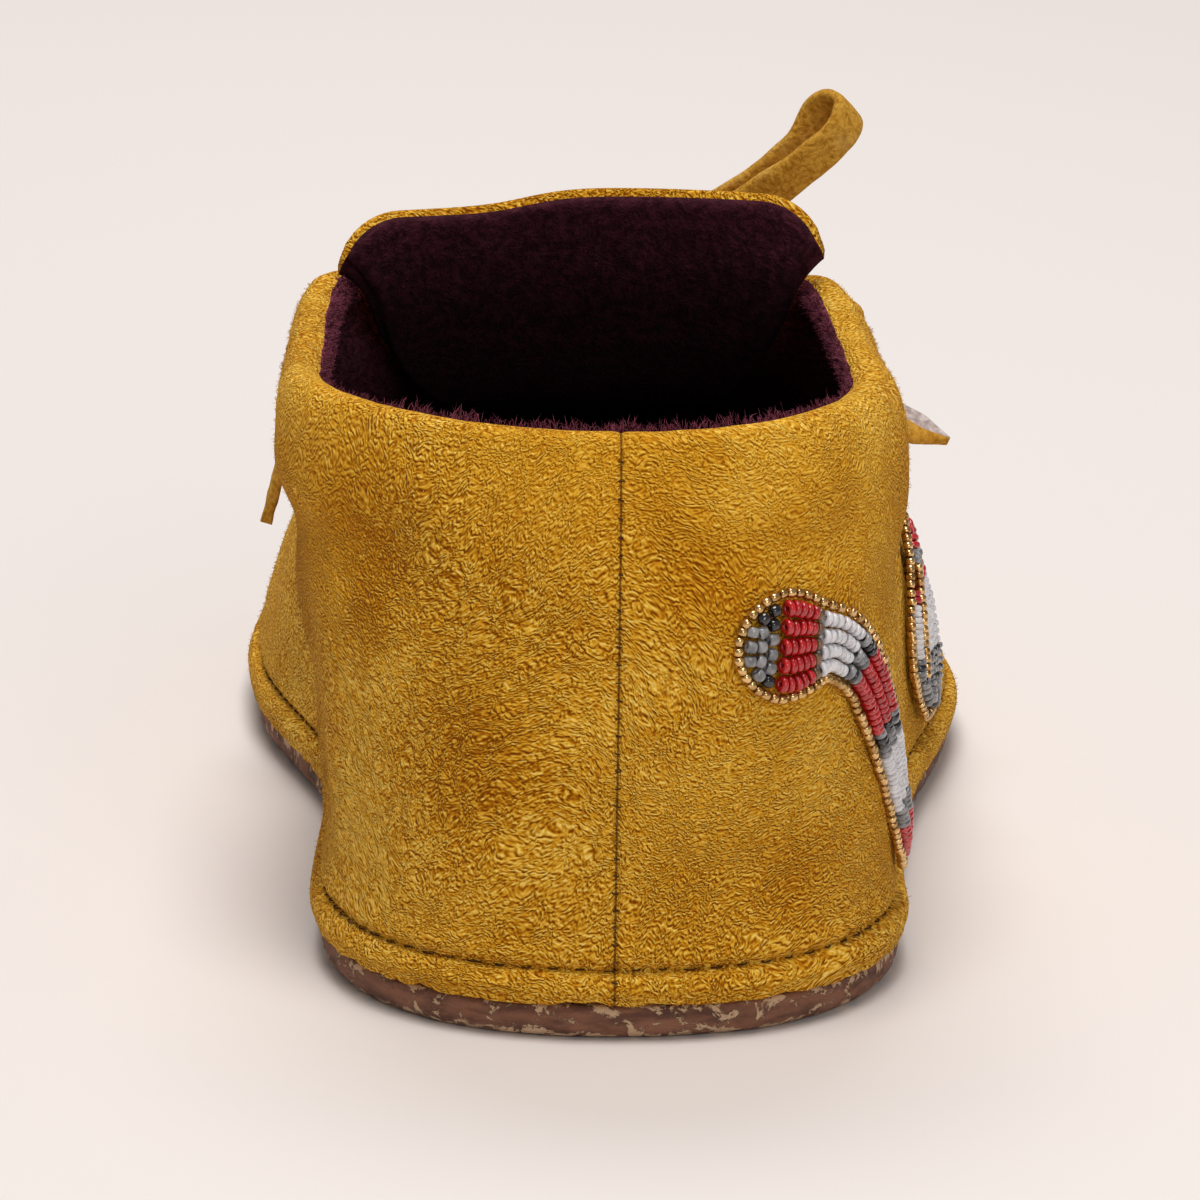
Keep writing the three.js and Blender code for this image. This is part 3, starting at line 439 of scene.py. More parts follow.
# The wall's curve at places along the foot: for each measure a size and, in order, shares of it
WALL_ALONG = (0.175, 0.285, 0.385, 0.425, 0.479, 0.6, 0.71, 0.806)
WALL_COLUMNS = {
    "half": (BALL_WIDTH, (0.37, 0.367, 0.352, 0.324, 0.2, 0.2, 0.21, 0.215)),
    "height": (COLLAR_HEIGHT, (1, 1, 1.01, 0.997, 0.85, 0.675, 0.555, 0.485)),
    "over": (BALL_WIDTH, (0.076, 0.064, 0.06, 0.078, 0.15, 0.165, 0.155, 0.11)),
    "drop": (COLLAR_HEIGHT, (0.06, 0.07, 0.08, 0.11, 0.03, 0.05, 0.05, 0.035)),
    "belly": (BALL_WIDTH, (-0.023, -0.025, -0.027, -0.014, -0.006, -0.015, -0.015, -0.002)),
    "rise": (1.0, (0.48, 0.48, 0.5, 0.53, 0.55, 0.52, 0.52, 0.55)),
    "lean": (BALL_WIDTH, (-0.034, -0.035, -0.034, -0.024, -0.006, 0, 0, 0)),
}
HEEL_BACK = {"half": 0.39, "over": 0.05, "drop": 0.15, "belly": 0.015, "rise": 0.46, "height": 0.98}
TOE_OVER = 0.1
CORNER_ALONG = WALL_ALONG[3] * LENGTH
HEM_HEIGHT = (0, 2.2, 4, 4.7, 6.4, 9.5)
HEM_OUT = (1, 1.7, 1.1, -0.2, 0.3, 0)
HEM_STITCH, HEM_LINE = 3.4, 10.1
HEM_PULL, HEM_PULL_RISE, HEM_PULL_WIDE = 0.22, 4.9, 1.6
HEM_FOLD, HEM_FOLD_RISE, HEM_FOLD_WIDE = 0.4, 4.85, 0.5
SEAM_GROOVE, SEAM_GROOVE_WIDE = 0.4, 0.4
SEAM_LIP, SEAM_LIP_AT, SEAM_LIP_WIDE = 0.22, 2.2, 1.8

wall_curves = {label: through(WALL_ALONG, np.array(shares) * size, "last")
               for label, (size, shares) in WALL_COLUMNS.items()}
hem_out = through(HEM_HEIGHT, HEM_OUT)
ridge_fall = float(wall_curves["height"]((TOE_ALONG - 1) / LENGTH) - wall_curves["height"](TOE_ALONG / LENGTH))


def profile(cut):
    """Control points of the wall at a station, and the vamp's ridge above it."""
    row = {label: curve(cut["y"] / LENGTH) for label, curve in wall_curves.items()}
    scale = {label: size for label, (size, shares) in WALL_COLUMNS.items()}
    mix = lambda label: row[label] + (HEEL_BACK[label] * scale[label] - row[label]) * cut["back"]
    half = mix("half")
    over = mix("over") + (TOE_OVER * BALL_WIDTH - mix("over")) * cut["front"]
    fall = ridge_fall * cut["front"]
    turn_in = mix("drop") / mix("over") + fall
    top = mix("height") - fall * half
    bottom = insole_low + spring(cut["y"] + cut["dir_y"] * cut["reach"])
    crown = row["drop"] / row["over"] * half / 2
    return {
        "out": (cut["reach"], cut["reach"] + mix("belly"), half + over, half),
        "up": (bottom, bottom + mix("rise") * (top - bottom), top - over * turn_in, top),
        "lean": row["lean"] * (1 - cut["back"]),
        "ridge": row["height"] + crown, "crown": crown, "fall": fall * half,
    }


def bezier(points, t):
    rest = 1 - t
    return rest ** 3 * points[0] + 3 * rest * rest * t * points[1] + 3 * rest * t * t * points[2] + t ** 3 * points[3]


def last_point(girth, share):
    """A point of the last: share 0 to 1 climbs the wall, and 1 to 2 crosses the vamp to its ridge."""
    cut = station(girth)
    shape = profile(cut)
    climb = np.minimum(share, 1)
    rest = np.where(share > 1, 2 - share, 1)
    out = bezier(shape["out"], climb) * rest
    vamp = shape["ridge"] - shape["fall"] * rest - shape["crown"] * rest * rest
    up = np.where(share > 1, vamp, bezier(shape["up"], climb))
    return np.stack((cut["x"] + cut["dir_x"] * out + shape["lean"] * climb, cut["y"] + cut["dir_y"] * out, up), axis=-1)


def skin_normal(girth, share):
    """The way out of the last; on the vamp's ridge it is set by the ridge's own slope."""
    girth, share = np.broadcast_arrays(np.asarray(girth, float), np.asarray(share, float))
    high = np.where(np.abs(girth) >= THROAT_GIRTH - 1e-6, 2, 1)
    round_way = last_point(girth + 0.5, share) - last_point(girth - 0.5, share)
    climb = last_point(girth, np.minimum(share + 0.01, high)) - last_point(girth, np.maximum(share - 0.01, 0))
    normal = np.cross(round_way, climb)
    ridge = np.stack((0 * girth, -round_way[..., 2] * np.sign(round_way[..., 1]), np.abs(round_way[..., 1])), axis=-1)
    ridge = np.where((np.abs(girth) >= TOE_START - 1e-6)[..., None], np.array((0, ridge_fall, 1)), ridge)
    normal = np.where((share > 1.999)[..., None], ridge, normal)
    return unit(normal)


def skin_point(girth, share, out):
    return last_point(girth, share) + skin_normal(girth, share) * np.asarray(out, float)[..., None]


def share_at_height(girth, height):
    up = profile(station(girth))["up"]
    low, high = np.zeros(np.shape(girth)), np.ones(np.shape(girth))
    for _ in range(24):
        middle = (low + high) / 2
        below = bezier(up, middle) < height
        low, high = np.where(below, middle, low), np.where(below, high, middle)
    return (low + high) / 2


def smooth(at, low, high):
    t = np.clip((at - low) / (high - low), 0, 1)
    return t * t * (3 - 2 * t)


def bell(off, width):
    return np.exp(-(off / width) ** 2)


# Creases: from and to (distance round the sole, height), then half-width and depth. A negative
# depth is a ridge. Those of the vamp have a place along it, a slant, a half-width and a depth.
WALL_CREASES = (
    ((-30, 65), (-104, 59), 6.0, 1.7),
    ((-54, 48), (-58, 24), 7.0, 1.0),
    ((-66, 40), (-96, 30), 6.0, 0.8),
    ((-44, 69), (-96, 67), 5.0, -0.7),
    ((9, 67), (34, 66), 5.0, 0.9),
    ((42, 57), (86, 55), 6.5, 1.5),
    ((46, 31), (74, 29), 11.0, -0.9),
    ((86, 48), (112, 24), 8.0, 0.7),
    ((-20, 30), (-46, 16), 7.0, 0.7),
    ((-12, 58), (-24, 40), 6.0, 0.5),
    ((14, 26), (40, 17), 7.0, 0.5),
    ((118, 62), (132, 50), 6.0, 0.9),
    ((-130, 62), (-152, 46), 6.0, 1.0),
)
DEEPEST_CREASE = -2.0
VAMP_CREASES = ((166.0, 0.10, 4.0, 1.0), (180.0, 0.06, 3.4, 0.7), (150.0, 0.16, 4.5, 0.6))


def hide_out(girth, share, spot):
    """How far the hide stands off the last: hem, back seam, stitch pulls, creases and soft lumps."""
    rise = spot[..., 2] - last_point(girth, 0 * share)[..., 2]
    on_wall = share < 1
    hem = np.where(on_wall & (rise < HEM_HEIGHT[-1]), hem_out(rise), 0)
    pulls = -HEM_PULL * np.cos(2 * math.pi * girth / HEM_STITCH) * bell(rise - HEM_PULL_RISE, HEM_PULL_WIDE) * on_wall
    lips = SEAM_LIP * bell(np.abs(girth) - SEAM_LIP_AT, SEAM_LIP_WIDE)
    seam = (lips - SEAM_GROOVE * bell(girth, SEAM_GROOVE_WIDE)) * (0.45 + 0.55 * smooth(rise, 2.0, 6.0))
    fold = -HEM_FOLD * bell(rise - HEM_FOLD_RISE, HEM_FOLD_WIDE) * on_wall
    total = hem + pulls + seam + fold
    height = spot[..., 2]
    for (g0, z0), (g1, z1), width, depth in WALL_CREASES:
        run, climb = g1 - g0, z1 - z0
        t = np.clip(((girth - g0) * run + (height - z0) * climb) / (run * run + climb * climb), 0, 1)
        far = np.hypot(girth - g0 - t * run, height - z0 - t * climb)
        total = total - depth * bell(far, width) * on_wall
    for place, slant, width, depth in VAMP_CREASES:
        off = spot[..., 1] - place - slant * np.abs(spot[..., 0])
        total = total - depth * bell(off, width) * smooth(share, 0.55, 1.25)
    calm = smooth(rise, 4.0, 10.0) * (1 - 0.5 * smooth(share, 0.9, 1.0) * (np.abs(girth) < THROAT_GIRTH))
    total = total + calm * (lumps(spot, 17.0, 0.55, 1.0) + lumps(spot, 6.0, 0.2, 2.0))
    return np.maximum(total, DEEPEST_CREASE)


def wall_thickness(girth, share):
    """The hide with its lining, plumper in the roll of the collar."""
    roll = 1 - smooth(station(girth)["y"], CORNER_ALONG, THROAT_ALONG)
    return HIDE_WALL + (COLLAR_ROLL - HIDE_WALL) * roll * smooth(share, 0.82, 1.0)


def hide_faces(girth, share):
    """Outer and inner faces of the wall at each spot."""
    girth, share = np.broadcast_arrays(np.asarray(girth, float), np.asarray(share, float))
    spot, normal = last_point(girth, share), skin_normal(girth, share)
    outer = spot + normal * hide_out(girth, share, spot)[..., None]
    inner = spot - normal * (wall_thickness(girth, share) - lumps(spot, 4.0, 0.35, 6.0))[..., None]
    foot = share == 0
    above_foot = spot[..., 2] - spot[..., 2].min()
    ragged = np.maximum(0, lumps(spot, 2.6, 0.9, 15.0) + 0.1) * (1 - smooth(above_foot, 0.0, 3.0))
    outer[..., 2] = np.where(foot, spot[..., 2], outer[..., 2]) + ragged
    inner[..., 2] = np.where(foot, spot[..., 2], inner[..., 2])
    return outer, inner


# Tones of the nap from its hollows, darkened with painted shade, to its tips, and listed patches that are
# darker with painted shadow, paler or combed smooth: spot, radius and share
SUEDE_TONES = ((0.0, (0.23, 0.058, 0.0)), (0.3, (0.43, 0.154, 0.003)), (0.55, (0.665, 0.32, 0.017)),
               (0.8, (0.815, 0.47, 0.053)), (1.0, (0.95, 0.64, 0.14)))
SUEDE_GAP_AND_SHADE = (0.09, 0.03, 0.003)
NAP_STRANDS, NAP_GROUND, NAP_CLUMPS = 1120, 2700, 500
SUEDE_SHADOWS = (((-36, 14, 67), 15, 1.0), ((-26, 6, 63), 13, 0.6), ((-35, 14, 54), 9, 0.8), ((-20, 4, 39), 17, 1.0),
                 ((-5, 1, 56), 11, 0.5), ((12, 2, 64), 12, 0.8), ((24, 5, 22), 13, 0.7), ((-54, 70, 40), 60, 1.3),
                 ((-3, 106, 98), 48, 0.8))
# Paler patches: spot, radius and share
SUEDE_PALE_PATCHES = (((-31, 10, 43), 12, 0.6), ((-10, 1, 27), 11, 0.6), ((38, 15, 66), 18, 0.3), ((40, 20, 30), 14, 0.5),
                ((-36, 20, 20), 20, 0.5), ((48, 80, 40), 60, 0.5), ((22, 5, 38), 26, 0.6))
SUEDE_SMOOTH = (((30, 4, 66), 36, 1.0), ((-8, 0, 84), 26, 1.0), ((-42, 28, 72), 30, 1.0), ((40, 60, 60), 60, 0.6))


def nap_relief(lay, wormy):
    """Short curled strands, a finer ground between them and, in places, longer curled clumps."""
    strands = abs(lay.stretched(0.9, 0.9, 1.35).speckle(NAP_STRANDS, 1) - 0.5).band(0.0, 0.17)
    clumps = abs(lay.stretched(1.2, 1.2, 0.95).speckle(NAP_CLUMPS, 0) - 0.5).band(0.0, 0.2)
    return 0.45 * strands + 0.75 * lay.speckle(NAP_GROUND, 0) + wormy * clumps


def seam_gap_and_fold_shade(here):
    """1 in the closed gap of the back seam, and less along the fold above the hem, whose dark line is painted shade."""
    along = here.axis(ALONG)
    beside = abs(here.axis(ACROSS) - float(in_frame((0, 0, 0))[ACROSS]))
    seam = (1 - beside.band(0.00006, 0.00026)) * (1 - along.band(-0.125, -0.115))
    climb = (along - float(in_frame((0, TOE_SPRING_START, 0))[ALONG])) * (1 / (LENGTH - TOE_SPRING_START) / MM)
    climb = climb.math("MAXIMUM", climb, 0.0)
    fold = abs(here.axis(UP) - climb * climb * (TOE_SPRING * MM) - HEM_LINE * MM)
    return seam + 0.4 * (1 - fold.band(0.00005, 0.00024))


def suede_look(here):
    """Colour and relief of the hide: nap with painted shade below each strand, listed patches, the dark gap of the back
    seam and the painted shade of the hem's fold.
    """
    lay = here.shaken(0.016, 32).shaken(0.0018, 330)
    smooth_side = here.patched(SUEDE_SMOOTH)
    kept = 1 - 0.28 * smooth_side.band(0.0, 0.9)
    combed = 0.3 * smooth_side + 0.25 * here.axis(UP).band(0.064, 0.078)
    wormy = 0.55 - 0.55 * (here.speckle(30, 1) + combed).band(0.36, 0.64)
    relief = nap_relief(lay, wormy)
    # Painted shade and light: the relief less itself a step higher, so the nap is paler where it faces up and darker
    # below, as if lit from above
    shade = relief - nap_relief(lay.moved(0.00006, 0, 0.00017), wormy)
    rubbed = here.shaken(0.008, 50).speckle(60, 3, 0.6)
    shadow_patch = here.patched(SUEDE_SHADOWS) * rubbed.band(0.28, 0.56)
    # Paler in the listed patches and in a band along the top of the collar
    paler_places = here.patched(SUEDE_PALE_PATCHES) + 0.6 * here.axis(UP).band(0.072, 0.083)
    tone = 0.535 + kept * (0.34 * relief + 0.95 * shade - 0.235)
    tone = tone - 0.27 * shadow_patch + 0.12 * paler_places + 0.62 * (rubbed - 0.5)
    hide = tone.node("ShaderNodeValToRGB", {"stops": SUEDE_TONES}, {0: tone})
    return (0.8 * seam_gap_and_fold_shade(here)).blend(hide, SUEDE_GAP_AND_SHADE), kept * relief


SUEDE_FIXED = {"Specular IOR Level": 0.06, "Sheen Weight": 0.06, "Sheen Roughness": 0.5,
               "Sheen Tint": (1.0, 0.72, 0.3, 1)}
suede = finish_of("ochre_suede", suede_look, 0.95, depth=0.0005, fixed=SUEDE_FIXED)

# Wall, outside with close rows in the hem, and inside
HEM_ROWS, WALL_ROWS, LINING_ROWS, VAMP_ROWS = 26, 46, 26, 22
foot_height = profile(ring_cut)["up"][0]
hem_rises = np.linspace(0, HEM_HEIGHT[-1], HEM_ROWS)
hem_rows = [share_at_height(ring, foot_height + rise) if rise else 0 * ring for rise in hem_rises]
climbs = np.linspace(0, 1, WALL_ROWS + 1)[1:]
wall_shares = np.array(hem_rows + [hem_rows[-1] + (1 - hem_rows[-1]) * climb for climb in climbs])
outer_wall, _ = hide_faces(np.broadcast_to(ring, wall_shares.shape), wall_shares)
lining_shares = np.array([t * np.ones_like(ring) for t in np.linspace(0, 1, LINING_ROWS)])
_, inner_wall = hide_faces(np.broadcast_to(ring, lining_shares.shape), lining_shares)

# Vamp top, outside and inside, from the throat on one side round the toe to the throat on the other
vamp = np.flatnonzero(np.abs(ring) >= THROAT_GIRTH - 1e-6)
vamp_shares = np.array([t * np.ones(len(vamp)) for t in np.linspace(1, 2, VAMP_ROWS)])
outer_vamp, inner_vamp = hide_faces(np.broadcast_to(ring[vamp], vamp_shares.shape), vamp_shares)

# Rolled edge of the opening: up the throat on the inner side, round the collar and down again
ROLL_ROWS, ROLL_RISE, ROLL_WOOL, BELOW_ROLL = 12, 0.46, 0.4, 0.96
collar = np.concatenate((np.arange(vamp[-1], len(ring)), np.arange(0, vamp[0] + 1)))
below_outer, below_inner = hide_faces(ring[collar], BELOW_ROLL)
edge_outer = np.concatenate((outer_vamp[:0:-1, -1], outer_wall[-1, collar], outer_vamp[1:-1, 0]))
edge_inner = np.concatenate((inner_vamp[:0:-1, -1], inner_wall[-1, collar], inner_vamp[1:-1, 0]))
before_outer = np.concatenate((outer_vamp[:0:-1, -3], below_outer, outer_vamp[1:-1, 2]))
before_inner = np.concatenate((inner_vamp[:0:-1, -3], below_inner, inner_vamp[1:-1, 2]))
edge_middle = (edge_outer + edge_inner) / 2
onward = unit(edge_middle - (before_outer + before_inner) / 2)
onward = unit(sum(np.roll(onward, step, axis=0) for step in range(-4, 5)))
edge_side = edge_outer - edge_middle
edge_rise = onward * ROLL_RISE * np.linalg.norm(edge_outer - edge_inner, axis=-1, keepdims=True)
roll_turn = np.linspace(0, math.pi, ROLL_ROWS)[:, None, None]
roll = edge_middle + edge_side * np.cos(roll_turn) + edge_rise * np.sin(roll_turn)
WELD_STEPS = 500


def weld(grids):
    """Joins grids of points into one mesh: (points, closed, turned over, finish) for each grid.

    Points in the same step of a millimetre become one, and faces without an area are left out.
    """
    points, faces, which, start = [], [], [], 0
    for grid, closed, turned, finish in grids:
        made = grid_faces(grid.shape[0], grid.shape[1], start, closed)
        faces.append(made[:, ::-1] if turned else made)
        which.append(np.broadcast_to(finish, (grid.shape[0] - 1, len(made) // (grid.shape[0] - 1))).ravel())
        points.append(grid.reshape(-1, 3))
        start += grid.shape[0] * grid.shape[1]
    points, faces, which = np.concatenate(points), np.concatenate(faces), np.concatenate(which)
    steps = np.round(points * WELD_STEPS).astype("int64")
    _, first, same = np.unique(steps, axis=0, return_index=True, return_inverse=True)
    faces = same.reshape(-1)[faces]
    kept, kinds = [], []
    for face, kind in zip(faces.tolist(), which.tolist()):
        corners = [corner for i, corner in enumerate(face) if corner != face[i - 1]]
        if len(set(corners)) == len(corners) > 2:
            kept.append(corners)
            kinds.append(kind)
    return points[first], kept, kinds


roll_finish = np.where(np.arange(ROLL_ROWS - 1)[:, None] > ROLL_WOOL * ROLL_ROWS, 2, 0)
foot_strip = np.stack((inner_wall[0], outer_wall[0]))
upper_points, upper_faces, upper_kinds = weld((
    (outer_wall, True, False, 0), (inner_wall, True, True, 1), (foot_strip, True, False, 0),
    (outer_vamp, False, False, 0), (inner_vamp, False, True, 1), (roll, True, False, roll_finish)))
upper = make_piece("suede_upper", upper_points, upper_faces, [suede, lining_wool, plum_wool], upper_kinds)
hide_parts("upper")


# Loose fibres of the suede: the brushed hide stands up in fine short hairs that lean every way. They
# are seen best along the outlines of the shoe.
FUZZ_COUNT, FUZZ_THICK, HAIR_ROOT = 15000, 0.045, 0.15
FUZZ_DEEP, FUZZ_PALE = (0.30, 0.095, 0.002), (0.86, 0.54, 0.10)
grain = np.random.default_rng(11)


def spokes(side, other, count):
    """Ways out from an axis, even round it, from two ways that stand square to it."""
    turns = np.arange(count) * 2 * math.pi / count
    return side[..., None, :] * np.cos(turns)[:, None] + other[..., None, :] * np.sin(turns)[:, None]


def repeated(faces, count, step):
    """The faces of one small shape for a number of copies, with step points in each."""
    return (faces + (np.arange(count) * step)[:, None, None]).reshape(-1, faces.shape[-1])


def hairs(spots, ways, bends, lengths, thick):
    """Tapered hairs as one mesh: three corners at the root, three half way and a tip."""
    side = unit(np.cross(ways, ways[:, [1, 2, 0]] + 0.3))
    ring_out = spokes(side, np.cross(ways, side), 3)
    middle = spots + ways * lengths[:, None] * 0.55
    tip = middle + unit(ways + bends) * lengths[:, None] * 0.5
    root = spots - ways * HAIR_ROOT
    corners = (root[:, None] + ring_out * thick, middle[:, None] + ring_out * thick * 0.75, tip[:, None])
    quads = np.array(((0, 1, 4, 3), (1, 2, 5, 4), (2, 0, 3, 5)))
    tips = np.array(((3, 4, 6), (4, 5, 6), (5, 3, 6)))
    faces = repeated(quads, len(spots), 7).tolist() + repeated(tips, len(spots), 7).tolist()
    return np.concatenate(corners, axis=1).reshape(-1, 3), faces


def scatter(count, girth, low, high):
    """Random distances round the sole, up to a girth on both sides, and shares of the wall."""
    return grain.uniform(-girth, girth, count), grain.uniform(low, high, count)


fuzz_girth, fuzz_share = scatter(FUZZ_COUNT, TOE_GIRTH, 0.02, 1.0)
fuzz_spot, _ = hide_faces(fuzz_girth, fuzz_share)
fuzz_way = unit(skin_normal(fuzz_girth, fuzz_share) + grain.normal(0, 0.55, (FUZZ_COUNT, 3)))
fuzz_points, fuzz_faces = hairs(fuzz_spot, fuzz_way, grain.normal(0, 0.8, (FUZZ_COUNT, 3)),
                                grain.uniform(0.25, 0.7, FUZZ_COUNT), FUZZ_THICK)
suede_hair = finish_of("suede_hair", speckled(90, 2, FUZZ_DEEP, FUZZ_PALE), 0.9, fixed={"Specular IOR Level": 0.1})
fuzz = make_piece("suede_fuzz", fuzz_points, fuzz_faces, [suede_hair])


# Wool of the lining: short curled locks that stand out of the collar's inner edge and, deeper, out of
# the inside of the wall. At the back of the heel they are longer, in tufts that lean up.
LOCK_COUNT, LOCK_THICK, LOCK_DEEP = 20000, 0.085, 0.62
LOCK_BACK, TUFT_SIZE, TUFT_LONGER, TUFT_LEAN = 30, 3.0, 1.6, (0, 0.2, 0.7)
edge_pick = grain.integers(0, roll.shape[1], LOCK_COUNT)
edge_turn = math.pi * grain.uniform(0.46, 1.0, LOCK_COUNT)
edge_cos, edge_sin = np.cos(edge_turn)[:, None], np.sin(edge_turn)[:, None]
edge_way = edge_side[edge_pick] * edge_cos + edge_rise[edge_pick] * edge_sin
slide = grain.uniform(0, 1, (LOCK_COUNT, 1))
lock_spot = edge_middle[edge_pick] * (1 - slide) + edge_middle[(edge_pick + 1) % roll.shape[1]] * slide + edge_way
deep_girth, deep_share = scatter(LOCK_COUNT, THROAT_GIRTH, 0.55, 1.0)
deep = grain.uniform(0, 1, LOCK_COUNT) < LOCK_DEEP
_, deep_spot = hide_faces(deep_girth, deep_share)
lock_spot = np.where(deep[:, None], deep_spot, lock_spot)
lock_way = np.where(deep[:, None], -skin_normal(deep_girth, deep_share), unit(edge_way))
lock_way = unit(lock_way + grain.normal(0, 0.6, (LOCK_COUNT, 3)))
at_back = (np.abs(lock_spot[:, 0]) < LOCK_BACK) & (lock_spot[:, 1] < LOCK_BACK) & ~deep
tufted = lumps(lock_spot, TUFT_SIZE, 1.0, 0.0) > 0.0
lock_long = grain.uniform(0.7, 1.7, LOCK_COUNT) * np.where(at_back & tufted, TUFT_LONGER, 1.0)
lock_way = np.where(at_back[:, None], unit(lock_way + np.array(TUFT_LEAN)), lock_way)
lock_points, lock_faces = hairs(lock_spot, lock_way, grain.normal(0, 1.1, (LOCK_COUNT, 3)), lock_long, LOCK_THICK)
locks = make_piece("wool_locks", lock_points, lock_faces, [plum_wool, lining_wool], np.tile(np.repeat(deep, 3), 2))


# Thread: waxed brown thread in a running stitch, up the back seam and round the hem above the sole.
# Each stitch dips into the hide at both ends, and a few in the hem row have lost their wax.
THREAD_RADIUS = 0.12
BACK_SEAM, BACK_STITCH, BACK_STITCH_LONG = (6.4, 82.0), 2.45, 0.75
HEM_STITCH_LONG, HEM_STITCH_RISE = 2.1, 4.8
BACK_STITCH_SINK, BACK_STITCH_ARCH, HEM_STITCH_SINK, HEM_STITCH_ARCH = 0.12, 0.6, 0.42, 0.8
THREAD_WAXED, THREAD_BARE = (0.06, 0.024, 0.008), (0.22, 0.11, 0.03)


def tubes(paths, radius, sides=6):
    """Round threads as one mesh, with closed ends; paths holds rows of points, one path to a row."""
    count, length = paths.shape[:2]
    along = unit(np.gradient(paths, axis=1))
    side = unit(np.cross(along, along[..., [2, 0, 1]] + 0.2))
    taper = np.ones(length)
    taper[[0, -1]] = 0.5
    points = paths[:, :, None] + spokes(side, np.cross(along, side), sides) * (radius * taper)[:, None, None]
    faces = repeated(grid_faces(length, sides, closed=True), count, length * sides).tolist()
    ends = repeated(np.arange(sides)[None], count, length * sides)
    faces += ends[:, ::-1].tolist() + (ends + (length - 1) * sides).tolist()
    return points.reshape(-1, 3), faces


stitch_arch = np.array((-0.5, 0.12, 0.3, 0.36, 0.3, 0.12, -0.5))
run = np.linspace(-0.5, 0.5, len(stitch_arch))
seam_foot = np.arange(*BACK_SEAM, BACK_STITCH)[:, None]
seam_girths = run * BACK_STITCH_LONG * grain.uniform(0.8, 1.2, seam_foot.shape)
seam_girths = seam_girths + grain.uniform(-0.1, 0.1, seam_foot.shape)
seam_heights = seam_foot + run * grain.uniform(-0.35, 0.15, seam_foot.shape)
seam_shares = share_at_height(seam_girths, seam_heights)
seam_out = hem_out(np.minimum(seam_heights - insole_low, HEM_HEIGHT[-1]))
seam_spot = skin_point(seam_girths, seam_shares, seam_out - BACK_STITCH_SINK + BACK_STITCH_ARCH * stitch_arch)
hem_foot = np.arange(-TOE_GIRTH, TOE_GIRTH, HEM_STITCH)[:, None] + HEM_STITCH / 2
hem_girths = hem_foot + run * HEM_STITCH_LONG * grain.uniform(0.55, 1.1, hem_foot.shape)
hem_rise = HEM_STITCH_RISE + grain.uniform(-0.12, 0.12, (len(hem_girths), 1))
hem_shares = share_at_height(hem_girths, profile(station(hem_girths))["up"][0] + hem_rise)
hem_spot = skin_point(hem_girths, hem_shares, HEM_STITCH_ARCH * stitch_arch - HEM_STITCH_SINK)
thread_points, thread_faces = tubes(np.concatenate((seam_spot, hem_spot)), THREAD_RADIUS)
waxed_thread = finish_of("waxed_thread", speckled(160, 2, THREAD_WAXED, THREAD_BARE, 0.58, 0.7), 0.8,
                         lambda here: here.speckle(3000, 1), depth=0.0002, fixed={"Specular IOR Level": 0.12})
thread = make_piece("thread", thread_points, thread_faces, [waxed_thread])


# Tongue: a tab of the same hide with wool on its rear face, sewn under the throat of the vamp and
# curled back at its edges by the bow. Its cut edge shows as a thin ochre line along the top.
TONGUE_RISE = (0, 0.27, 0.5, 0.74, 1)
TONGUE_ALONG, TONGUE_HEIGHT = (136, 126, 117.6, 112.6, 109.5), (62.4, 67.8, 75.5, 84.5, 96.2)
TONGUE_HALF, TONGUE_CURL = (21, 25.5, 29.8, 32, 36), (3.5, 5, 8, 8.5, 8)
TONGUE_LEAN, TONGUE_CORNER, TONGUE_WAVE, TONGUE_THICKNESS = -3.0, 9.0, 1.5, 3.4
TONGUE_ROWS, TONGUE_COLUMNS, TONGUE_STEP, INSET_STEP = 46, 64, 0.02, 0.03
FRONT_INSET, BACK_INSET = 0.35, 0.75
# Steps round the tongue's edge: distance behind its front, and inset
TONGUE_RIM = ((0.25, 0.08), (0.9, 0.0), (1.5, 0.12), (1.8, 0.55), (2.6, 0.42))
RIM_HIDE_ROWS, RIM_HIDE_DEEP = 4, 8
STRIP_HEIGHT, STRIP_SLOPE, STRIP_MIDDLE, STRIP_HALF, STRIP_RISE = 72.5, 0.02, -2.5, 21.5, 0.7
TONGUE_LOCKS, TONGUE_LOCK_THICK = 7000, 0.08
tongue_along, tongue_height, tongue_half, tongue_curl = (
    through(TONGUE_RISE, column, "both") for column in (TONGUE_ALONG, TONGUE_HEIGHT, TONGUE_HALF, TONGUE_CURL))


def tongue_point(rise, side):
    """A point of the tongue's front: rise 0 to 1 from its foot, side -1 to 1 across it."""
    half = tongue_half(rise)
    x = side * half
    corner = np.maximum(0, np.abs(x) - (half - TONGUE_CORNER)) / TONGUE_CORNER
    rounded = TONGUE_CORNER * (1 - np.sqrt(np.maximum(0, 1 - corner * corner)))
    wave = TONGUE_WAVE * np.tanh((x + 8) / 7) - 0.25 * TONGUE_WAVE
    y = tongue_along(rise) - tongue_curl(rise) * np.abs(side) ** 2.2
    return np.stack((x + TONGUE_LEAN, y, tongue_height(rise) + rise ** 4 * (wave - rounded)), axis=-1)


def tongue_grid(back, inset):
    """One face of the tongue, a distance behind its front and a little in from its edge."""
    kept = 1 - inset * INSET_STEP
    rises = np.linspace(0, 1, TONGUE_ROWS)[:, None] * np.ones(TONGUE_COLUMNS) * kept
    sides = np.linspace(-1, 1, TONGUE_COLUMNS)[None, :] * np.ones((TONGUE_ROWS, 1)) * kept
    above, below = np.minimum(rises + TONGUE_STEP, 1), np.maximum(rises - TONGUE_STEP, 0)
    right, left = np.minimum(sides + TONGUE_STEP, 1), np.maximum(sides - TONGUE_STEP, -1)
    climb = tongue_point(above, sides) - tongue_point(below, sides)
    wide = tongue_point(rises, right) - tongue_point(rises, left)
    return tongue_point(rises, sides) - unit(np.cross(climb, wide)) * back


def rim_of(grid):
    return np.concatenate((grid[0, :-1], grid[:-1, -1], grid[-1, :0:-1], grid[:0:-1, 0]))


